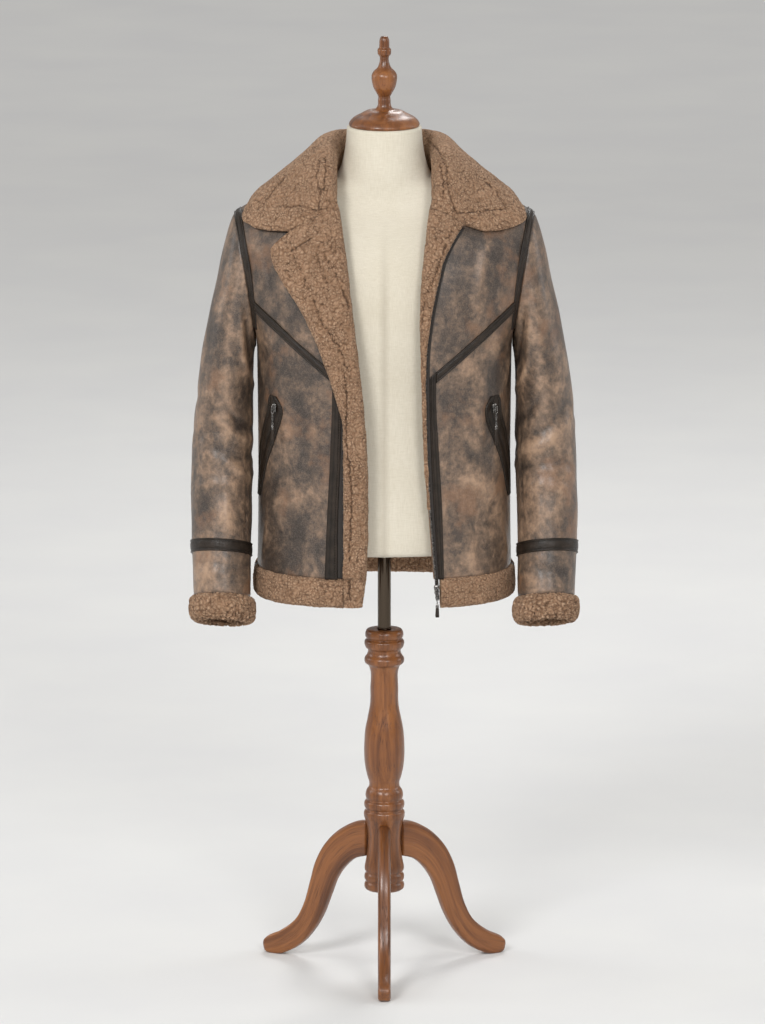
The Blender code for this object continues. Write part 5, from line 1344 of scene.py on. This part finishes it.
# ---------------------------------------------------------------- lapels
# On the wearer's right the front is turned back in a wide wool lapel that narrows to a strip down
# to the hem. On the left a narrow strip is turned back at the top, beside the zip.
LAPEL_LIFT = 0.0026
LAPEL_R = table(
    "fold_z  outer_z outer_x",
    (0.6080, 0.6080, 0.0618), (0.6250, 0.6250, 0.0618), (0.6485, 0.6485, 0.0618),
    (0.6496, 0.6496, 0.0618), (0.7000, 0.7000, 0.0618), (0.7800, 0.7800, 0.0618),
    (0.8500, 0.8500, 0.0619), (0.9050, 0.8960, 0.0636), (0.9600, 0.9400, 0.0752),
    (1.0080, 0.9840, 0.0893), (1.0550, 1.0280, 0.1060), (1.1020, 1.0700, 0.1270),
    (1.1480, 1.1060, 0.1510), (1.1900, 1.1380, 0.1690),
)
LAPEL_TIP_X = {"R": 0.1720, "L": 0.1195}
GORGE = table(
    "x      z",
    (0.0600, 1.2230), (0.0775, 1.2142), (0.1080, 1.1990), (0.1390, 1.1830), (0.1560, 1.1705),
    (0.1720, 1.1570),
)
# Across a turned edge: offset from the fold and height over the panel, then shares of the way to
# the outer edge.
TURN = table(
    "out_x   out_lift in_x    in_lift",
    (-0.0072, -0.0055, -0.0070, -0.0065), (-0.0088, 0.0010, -0.0007, -0.0082),
    (-0.0050, 0.0088, -0.0007, LAPEL_LIFT), (0.0040, 0.0118, 0.0040, LAPEL_LIFT),
)
FLAT = table("share  out_lift", (0.30, 0.0128), (0.62, 0.0122), (0.92, 0.0095), (1.00, 0.0050))


def gorge(x):
    """Height on the front of the seam between collar and lapel."""
    return smooth(x, GORGE["x"], GORGE["z"])


def lapel_loops(hand, fold_x, outer_x, fold_z, outer_z, solid_below=0.0, full=1.0):
    """Loops round a turned-back lapel, from the hem to its seam with the collar.

    Rows lower than solid_below have the whole wall's thickness. full is how far each row stands
    out, from 0 for flat on the edge to 1.
    """
    full = np.append(np.broadcast_to(full, len(fold_z)), 1.0)[:, None]
    fold_x = np.append(fold_x, GORGE["x"][1])[:, None]
    outer_x = np.append(outer_x, LAPEL_TIP_X[hand])[:, None]
    slope = np.append((outer_z - fold_z) / (outer_x[:-1] - fold_x[:-1])[:, 0], 0)[:, None]
    start_z = np.append(fold_z, 0)[:, None]

    def face(turn_x, lift):
        turn_x = np.minimum(turn_x, 0.25 * (outer_x - fold_x))
        turn_x = np.where(turn_x < -0.0007, (turn_x + 0.0007) * full - 0.0007, turn_x)
        x = np.concatenate([fold_x + turn_x, fold_x + (outer_x - fold_x) * FLAT["share"]], axis=1)
        z = start_z + slope * (x - fold_x)
        z[-1] = gorge(x[-1]) - GAP
        points, normals = on_front(x, z)
        return points + normals * (lift * full)[..., None]

    outer = face(TURN["out_x"], np.append(TURN["out_lift"], FLAT["out_lift"]))
    lift = np.tile(np.append(TURN["in_lift"], [LAPEL_LIFT] * 4), (len(fold_x), 1))
    lift[:-1][fold_z < solid_below] = -HIDE
    inner = face(TURN["in_x"], lift)
    return mirrored(round_loops(outer, inner), hand)


# Partings in the wool: width, then x and height in the view from in front and a little above.
LAPEL_CUTS = (
    (0.0011, ((-0.1097, 0.4508), (-0.1097, 0.4385), (-0.0974, 0.4185), (-0.0897, 0.3846))),
    (0.0011, ((-0.0851, 0.3831), (-0.0682, 0.3492), (-0.0528, 0.3108))),
    (0.0010, ((-0.0851, 0.4108), (-0.0743, 0.3938))),
    (0.0010, ((-0.1066, 0.4000), (-0.0882, 0.3492))),
    (0.0010, ((-0.1405, 0.3938), (-0.1297, 0.3723), (-0.1174, 0.3415), (-0.1097, 0.3262))),
    (0.0011, ((-0.1097, 0.3262), (-0.0989, 0.2954), (-0.0835, 0.2723), (-0.0682, 0.2492),
              (-0.0559, 0.2154))),
    (0.0010, ((-0.1435, 0.3985), (-0.1097, 0.4185))),
    (0.0012, ((-0.0620, 0.2154), (-0.0574, 0.1723), (-0.0589, 0.1108), (-0.0528, 0.0646),
              (-0.0497, 0.0185), (-0.0528, -0.0431), (-0.0543, -0.0892), (-0.0528, -0.1354))),
)
fold_x = smooth(LAPEL_R["fold_z"], FRONTS["R"]["z"], FRONTS["R"]["edge"])
loops = lapel_loops("R", fold_x, LAPEL_R["outer_x"], LAPEL_R["fold_z"], LAPEL_R["outer_z"],
                    solid_below=HEM_TOP - 2 * GAP)
piece = wool_roll("wool_lapel_R", loops, "lapel_R", 0.0052, 0.0024, 0.0015, cuts=LAPEL_CUTS)

LAPEL_L = table(
    "fold_z outer_z full",
    (0.760, 0.760, 0.12), (0.840, 0.840, 0.30), (0.920, 0.920, 0.36), (0.985, 0.985, 0.45),
    (1.030, 1.030, 0.66), (1.065, 1.060, 0.88), (1.100, 1.090, 1.00), (1.135, 1.115, 1.00),
    (1.170, 1.143, 1.00), (1.195, 1.168, 1.00),
)
fold_z, outer_z, full = LAPEL_L.values()
fold_x = smooth(fold_z, FRONTS["L"]["z"], FRONTS["L"]["edge"])
outer_x = smooth(outer_z, FRONTS["L"]["z"], FRONTS["L"]["tape"]) - GAP
loops = lapel_loops("L", fold_x, outer_x, fold_z, outer_z, full=full)
piece = wool_roll("wool_lapel_L", loops, "lapel_L", 0.0050, 0.0022, 0.0013, cuts=(
    (0.0011, ((0.1118, 0.4492), (0.0965, 0.4185), (0.0857, 0.3846), (0.0734, 0.3492),
              (0.0611, 0.3262), (0.0580, 0.2877))),
))

# ---------------------------------------------------------------- collar
# A broad collar cut in one with its stand. It rises round the neck, rolls over and falls, wool side
# out, on the shoulders. Its underside is the coat's leather, but the whole wall here has the wool
# finish.
COLLAR_ALONG = np.array([0.00, 0.40, 0.75, 1.00, 1.25, 1.50, 1.75, 2.00])
COLLAR = {                        # from the top of its seam, line by line, out to its edge
    "stand": table(
        "x     y        z",
        (0.000, 0.080, 1.285), (0.040, 0.071, 1.287), (0.066, 0.046, 1.290),
        (0.077, 0.006, 1.2900), (0.078, -0.030, 1.2820), (0.078, -0.060, 1.2660),
        (0.078, -0.082, 1.2450), (0.079, -0.0965, 1.2240),
    ),
    "roll": table(
        "x     y        z",
        (0.000, 0.088, 1.3090), (0.044, 0.080, 1.3110), (0.074, 0.052, 1.3130),
        (0.084, 0.006, 1.3130), (0.086, -0.034, 1.3030), (0.086, -0.066, 1.2850),
        (0.085, -0.089, 1.2600), (0.084, -0.1040, 1.2330),
    ),
    "mid": table(
        "x     y        z",
        (0.000, 0.112, 1.262), (0.062, 0.103, 1.265), (0.104, 0.074, 1.269),
        (0.136, 0.016, 1.2715), (0.145, -0.024, 1.2660), (0.145, -0.050, 1.2510),
        (0.128, -0.079, 1.2290), (0.112, -0.1000, 1.2080),
    ),
    "edge": table(
        "x     y        z",
        (0.000, 0.1255, 1.2050), (0.080, 0.1170, 1.2065), (0.142, 0.0910, 1.2100),
        (0.1900, 0.0220, 1.2260), (0.2080, -0.0180, 1.2160), (0.2165, -0.0480, 1.1970),
        (0.1850, -0.0795, 1.1865), (0.1400, -0.0950, 1.1870),
    ),
}
COLLAR_THICK = 0.011
COLLAR_END = table(
    "share  wool_x  wool_lift leather_x leather_lift",
    (0.00, -0.0007, -0.0080, -0.0007, 0.0000), (0.00, -0.0055, -0.0070, -0.0007, 0.0015),
    (0.00, -0.0086, 0.0010, -0.0007, 0.0028), (0.00, -0.0050, 0.0088, 0.0010, 0.0028),
    (0.00, 0.0040, 0.0118, 0.0050, 0.0028), (0.18, 0.0000, 0.0126, 0.0000, 0.0028),
    (0.36, 0.0000, 0.0128, 0.0000, 0.0028), (0.58, 0.0000, 0.0126, 0.0000, 0.0028),
    (0.80, 0.0000, 0.0122, 0.0000, 0.0028), (0.96, 0.0000, 0.0110, 0.0000, 0.0032),
    (1.00, 0.0000, 0.0085, 0.0000, 0.0055),
)
NOTCH_X = {"R": 0.1400, "L": 0.1215}
# The neckline from the centre back (0) by the neck point (1) to the front end (2), at +X.
coarse_f, coarse_h = lattices["L"]
points, normals = body_point(-1, coarse_f, coarse_h), body_normal(-1, coarse_f, coarse_h)
fore = slice(len(coarse_f) - 5, None)
outside = np.concatenate([back_points[-1, :5], points[fore, 0][::-1][1:]])
out = np.concatenate([back_normals[-1, :5], normals[fore, 0][::-1][1:]])
knots = np.append(np.linspace(0, 1, 5), [1.25, 1.5, 1.75, 2.0])
along = np.linspace(0, 2, 17)
outside = between_points(along, knots, outside)
out = unit(between_points(along, knots, out))
away = unit(np.cross(out, np.gradient(outside, axis=0)))
away[away[:, 0] * outside[:, 0] + away[:, 1] * outside[:, 1] > 0] *= -1
inside = outside - out * HIDE


def collar_half(hand):
    """Loops round the collar's wall from the centre back to one front end, at +X."""
    stages = [(outside + inside) / 2 + away * GAP]
    for stage in COLLAR.values():
        path = [smooth(along, COLLAR_ALONG, stage[axis]) for axis in "xyz"]
        stages.append(np.stack(path, axis=-1))
    shift = np.clip((along - 1.5) / 0.5, 0, 1) ** 2 * (NOTCH_X[hand] - COLLAR["edge"]["x"][-1])
    stages[4][:, 0] += shift
    stages[3][:, 0] += shift / 2
    across = np.array([0.0, 0.55, 1.0, 1.35, 1.7, 2.05, 2.6, 3.4, 4.2, 4.85, 5.0])
    middle = smooth(across, np.array([0.0, 1.0, 1.7, 3.2, 5.0]), np.stack(stages)).swapaxes(0, 1)
    taper = np.interp(across, [0, 0.6, 1, 4.2, 4.85, 5], [0.7, 0.7, 1, 1, 0.8, 0.3])
    thick = taper * COLLAR_THICK / 2
    over = unit(np.cross(np.gradient(middle, axis=0), np.gradient(middle, axis=1)))
    faces = [middle + over * thick[:, None], middle - over * thick[:, None]]
    reach = NOTCH_X[hand] - GORGE["x"][1]
    for face, side in zip(faces, ("wool", "leather")):
        x = GORGE["x"][1] + COLLAR_END[f"{side}_x"] + COLLAR_END["share"] * reach
        points, normals = on_front(x, gorge(x) + GAP)
        face[-1] = points + normals * COLLAR_END[f"{side}_lift"][:, None]
    faces[0][:, 0], faces[1][:, 0] = inside + away * 1.5 * GAP, outside + away * 1.5 * GAP
    return round_loops(*faces)


COLLAR_CUTS = (
    (0.0010, ((-0.1512, 0.5154), (-0.1682, 0.4954), (-0.1882, 0.4677))),
    (0.0009, ((-0.1528, 0.4662), (-0.1297, 0.4692), (-0.1066, 0.4615), (-0.0866, 0.4646))),
    (0.0010, ((-0.0989, 0.5400), (-0.1035, 0.5108), (-0.0974, 0.4862), (-0.1005, 0.4600))),
    (0.0009, ((-0.0912, 0.5462), (-0.0897, 0.5169), (-0.0928, 0.4923))),
    (0.0010, ((0.1549, 0.5062), (0.1672, 0.4969), (0.1780, 0.4800), (0.1872, 0.4646))),
    (0.0009, ((0.1088, 0.4554), (0.1318, 0.4585), (0.1626, 0.4631), (0.1872, 0.4646))),
    (0.0010, ((0.0672, 0.5723), (0.0811, 0.5569), (0.0949, 0.5262), (0.0980, 0.4954),
              (0.1041, 0.4723), (0.1118, 0.4554))),
    (0.0009, ((0.0857, 0.5323), (0.0903, 0.5015), (0.0903, 0.4800))),
)
halves = {hand: collar_half(hand) for hand in "RL"}
loops = np.concatenate([mirrored(halves["R"], "R")[:0:-1], halves["L"]])
piece = wool_roll("wool_collar", loops, "collar", 0.0050, 0.0022, 0.00175, cuts=COLLAR_CUTS)

# ---------------------------------------------------------------- stitches
# Waxed dark thread in the sunk lines of the strips, one short stitch after another.
# A small bar is four rings of four points, pinched at its two ends.
BAR = np.stack([np.repeat((-0.5, -0.25, 0.25, 0.5), 4),
                *(np.concatenate([r * wave(circle(4)) for r in (0.25, 0.5, 0.5, 0.25)])
                  for wave in (np.cos, np.sin))], axis=-1)
BAR_QUADS = np.concatenate([patch(4, 4, wrap_columns=True), [[3, 2, 1, 0], [12, 13, 14, 15]]])


def small_bars(name, marks, length, width, height, made):
    """One piece of like bars. A mark is a bar's middle and its long and upward directions."""
    marks = np.concatenate(marks)
    spots, ahead, out = marks[:, 0], marks[:, 1], marks[:, 2]
    beside = unit(np.cross(out, ahead))
    points = (spots[:, None] + ahead[:, None] * BAR[:, :1] * length
              + beside[:, None] * BAR[:, 1:2] * width + out[:, None] * BAR[:, 2:] * height)
    first = np.arange(len(marks))[:, None, None] * len(BAR)
    return build(name, points + np.array([0, ORIGIN_Y, 0]),
                 [(BAR_QUADS + first).reshape(-1, 4)], [made])


piece = small_bars("strip_stitches", stitches, 0.0030, 0.0007, 0.0007, THREAD)
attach(piece, "form_and_coat")

# ---------------------------------------------------------------- zips
# A gunmetal zip closes the front: a woven tape down each edge with a row of cast teeth, and a
# slider at the wearer's left. Each pocket has a slider too. A pull of ring, chain, clasp and
# leather tab hangs on each slider's crown.
wire, end = finish("woven_tape", Roughness=0.75)
weave = wire.drawn(wire.place(), (900, 900, 1700), 1)
TAPE = end(Base_Color=weave.ramp((0.3, (0.008, 0.006, 0.005)), (0.7, (0.034, 0.026, 0.021))),
           Normal=wire.bump(weave, 0.0003))

wire, end = finish("gunmetal", Metallic=1.0)
rub = wire.noise(wire.place(), 260.0, 4.0, 0.6)
METAL = end(Base_Color=rub.ramp((0.35, (0.085, 0.080, 0.078)), (0.70, (0.330, 0.315, 0.300))),
            Roughness=0.16 + 0.22 * rub)

TAPE_HEIGHT, CORD_HEIGHT = 0.0012, 0.0005   # a cord thickens the tape beside the teeth
TOOTH_PITCH, TOOTH_RISE = 0.0024, 0.0019
TAPE_EDGE_R = 0.0622              # on the wearer's right the tape's edge is straight
ZIPS = {                          # heights, and the flat length and area of the tape
    "L": (np.append([0.618, 0.634, 0.6485], np.linspace(0.652, 1.190, 24)), 0.60, 0.0044),
    "R": (np.linspace(0.652, 0.925, 14), 0.28, 0.0022),
}
teeth = []
for hand, (z, run, area) in ZIPS.items():
    edges = FRONTS[hand]
    x = np.stack([smooth(z, edges["z"], edges["tape"]) if hand == "L" else TAPE_EDGE_R + 0 * z,
                  smooth(z, edges["z"], edges["placket_in"]) - GAP], axis=-1)
    line = resample(np.stack([x, np.stack([z, z], axis=-1)], axis=-1), 0.0020)
    wide = np.array([0, 0.06, 0.14, 0.30, 0.60, 0.90, 1.0])[:, None]
    line = line[:, :1] * (1 - wide) + line[:, 1:] * wide
    f, h = front_share(line[..., 0], line[..., 1])
    points, normals = body_point(-1, f, h), body_normal(-1, f, h)
    lift = relief(-1, HAND[hand] * f, points) * (line[..., 1] > HEM_TOP)
    points, normals = mirrored(points + normals * lift[..., None], hand), mirrored(normals, hand)
    cord = np.exp(-(((wide[:, 0] - 0.10) / 0.08) ** 2))[None, :, None]
    low = np.where(line[:, :1, 1:] > HEM_TOP - 0.001, 0.0001, -HIDE / 2)
    height = TAPE_HEIGHT + CORD_HEIGHT * cord
    vertices, faces = shell(points + normals * height, points + normals * low)
    piece = build(f"zip_tape_{hand}", vertices, faces, [TAPE])
    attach(piece, "form_and_coat")
    if hand == "L":
        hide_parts("zip_L")
    edge, out = points[:, 0] + normals[:, 0] * TOOTH_RISE, normals[:, 0]
    knots = np.append(0, np.cumsum(np.linalg.norm(np.diff(edge, axis=0), axis=1)))
    at = np.arange(0.004, knots[-1] - 0.002, TOOTH_PITCH)
    spot, ahead, up = [between_points(at, knots, values)
                       for values in (edge, np.gradient(edge, axis=0), out)]
    teeth.append(np.stack([spot, unit(np.cross(unit(ahead), up)), unit(up)], axis=1))

# A tooth is a short bar across the tape's edge.
piece = small_bars("zip_teeth", teeth, 0.0034, 0.0014, 0.0018, METAL)
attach(piece, "form_and_coat")

SLIDER_THICK, PULL_THICK = 0.0050, 0.0026


def link(length, width, radius, middle, turn=0.0):
    """Rings of points along a closed link of round wire, long in Z, turned about Z by degrees."""
    turns = circle(24)
    path = np.stack([squared(np.cos(turns), 0.75) * (width / 2 - radius), 0 * turns,
                     squared(np.sin(turns), 0.75) * (length / 2 - radius)], axis=-1)
    ahead = unit(np.roll(path, -1, axis=0) - np.roll(path, 1, axis=0))
    level = np.array([0.0, 1.0, 0.0])
    aside = np.cross(ahead, level)
    ring = circle(8)[None, :, None]
    rings = path[:, None] + radius * (np.cos(ring) * aside[:, None] + np.sin(ring) * level)
    c, s = math.cos(math.radians(turn)), math.sin(math.radians(turn))
    return rings @ np.array([[c, s, 0], [-s, c, 0], [0, 0, 1]]) + np.array(middle), True


def bar(profile, middle):
    """Rings of points along a squared bar: its z, half width and half thickness, in order."""
    c, s = [squared(wave(circle(24)), 0.45) for wave in (np.cos, np.sin)]
    z, wide, thick = [np.array(row)[:, None] for row in zip(*profile)]
    return np.stack([wide * c, thick * s, z + 0 * c], axis=-1) + np.array(middle), False


def assembled(name, parts, finishes, place, axes):
    """One piece from rings of points in a frame of its own. The rows of axes are its directions."""
    points, faces, index, start = [], [], [], 0
    for (rings, closed), kind in parts:
        rows, sides = rings.shape[:2]
        new = [patch(rows, sides, closed, True, start=start)]
        if not closed:
            new += end_caps(rows, sides, start)
        solid = rings.reshape(-1, 3)
        inside_out = volume(solid, [f - start for f in new]) < 0
        faces += [f[:, ::-1] if inside_out else f for f in new]
        index += [kind] * sum(len(f) for f in new)
        points.append(solid @ axes + place)
        start += rows * sides
    return build(name, np.concatenate(points) + np.array([0, ORIGIN_Y, 0]), faces, finishes,
                 np.array(index), worn=np.full(start, 0.9))


SOLID_TRIM = 0.0016               # thickness of the solids' zip tape; their welts have it twice
PULLS = (                         # name, x, z, hand, height of the slider's seat, length
    ("front", 0.0795, 0.635, "L", SOLID_TRIM + GAP * 2, 0.043),
    ("R", 0.1645, 0.912, "R", 2 * SOLID_TRIM + GAP, 0.058),
    ("L", 0.1645, 0.912, "L", 2 * SOLID_TRIM + GAP, 0.058),
)
for name, x, z, hand, height, length in PULLS:
    point, normal = on_front(np.array([x]), np.array([z]))
    point, normal = mirrored(point, hand)[0], mirrored(normal, hand)[0]
    across = unit(np.cross(np.array([0.0, 0.0, 1.0]), normal))
    axes = np.stack([across, -normal, np.cross(across, -normal)])
    seat = height + GAP + SLIDER_THICK / 2
    body = bar([(-0.0070, 0.0016, 0.0004), (-0.0068, 0.0028, 0.0012), (-0.0060, 0.0033, 0.0018),
                (-0.0010, 0.0034, 0.0019), (0.0030, 0.0042, 0.0019), (0.0058, 0.0041, 0.0018),
                (0.0067, 0.0032, 0.0012), (0.0070, 0.0020, 0.0005)], (0, 0.0005, 0))
    crown = link(0.0092, 0.0066, 0.0007, (0, -0.0033, 0), 90.0)
    parts = [(body, 0), (crown, 0)]
    piece = assembled(f"slider_{name}", parts, [METAL], point + normal * seat, axes)
    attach(piece, "form_and_coat")
    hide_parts(f"zip_slider_{name}")
    # The pull hangs from its hinge in the crown: an eye, links at right angles, a clasp and a tab.
    tab = 0.026 if length > 0.05 else 0.016
    parts, low = [(link(0.0096, 0.0062, 0.00068, (0, 0, -0.0041)), 0)], -0.0079
    turn = 90.0
    while low - 0.0052 > tab + 0.0035 - length:
        wide = 0.0040 if turn == 0 else 0.0026
        parts.append((link(0.0066, wide, 0.00062, (0, 0, low - 0.0022), turn), 0))
        low, turn = low - 0.0046, 90.0 - turn
    clasp = tab - length
    parts.append((bar([(clasp - 0.0012, 0.0022, 0.0010), (clasp - 0.0008, 0.0026, 0.0013),
                       (clasp + 0.0014, 0.0026, 0.0013), (low + 0.0004, 0.0012, 0.0009),
                       (low + 0.0008, 0.0006, 0.0005)], (0, 0, 0)), 0))
    parts.append((bar([(-length, 0.0022, 0.0006), (0.0005 - length, 0.0029, 0.0011),
                       (0.0030 - length, 0.0031, 0.0012), (clasp - 0.0030, 0.0025, 0.0012),
                       (clasp + 0.0002, 0.0019, 0.0010)], (0, 0, 0)), 1))
    hinge = point + normal * (seat + (SLIDER_THICK + PULL_THICK) / 2 + GAP)
    piece = assembled(f"pull_{name}", parts, [METAL, DARK], hinge, axes)
    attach(piece, f"pull_{name}")
    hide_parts(f"zip_pull_{name}")
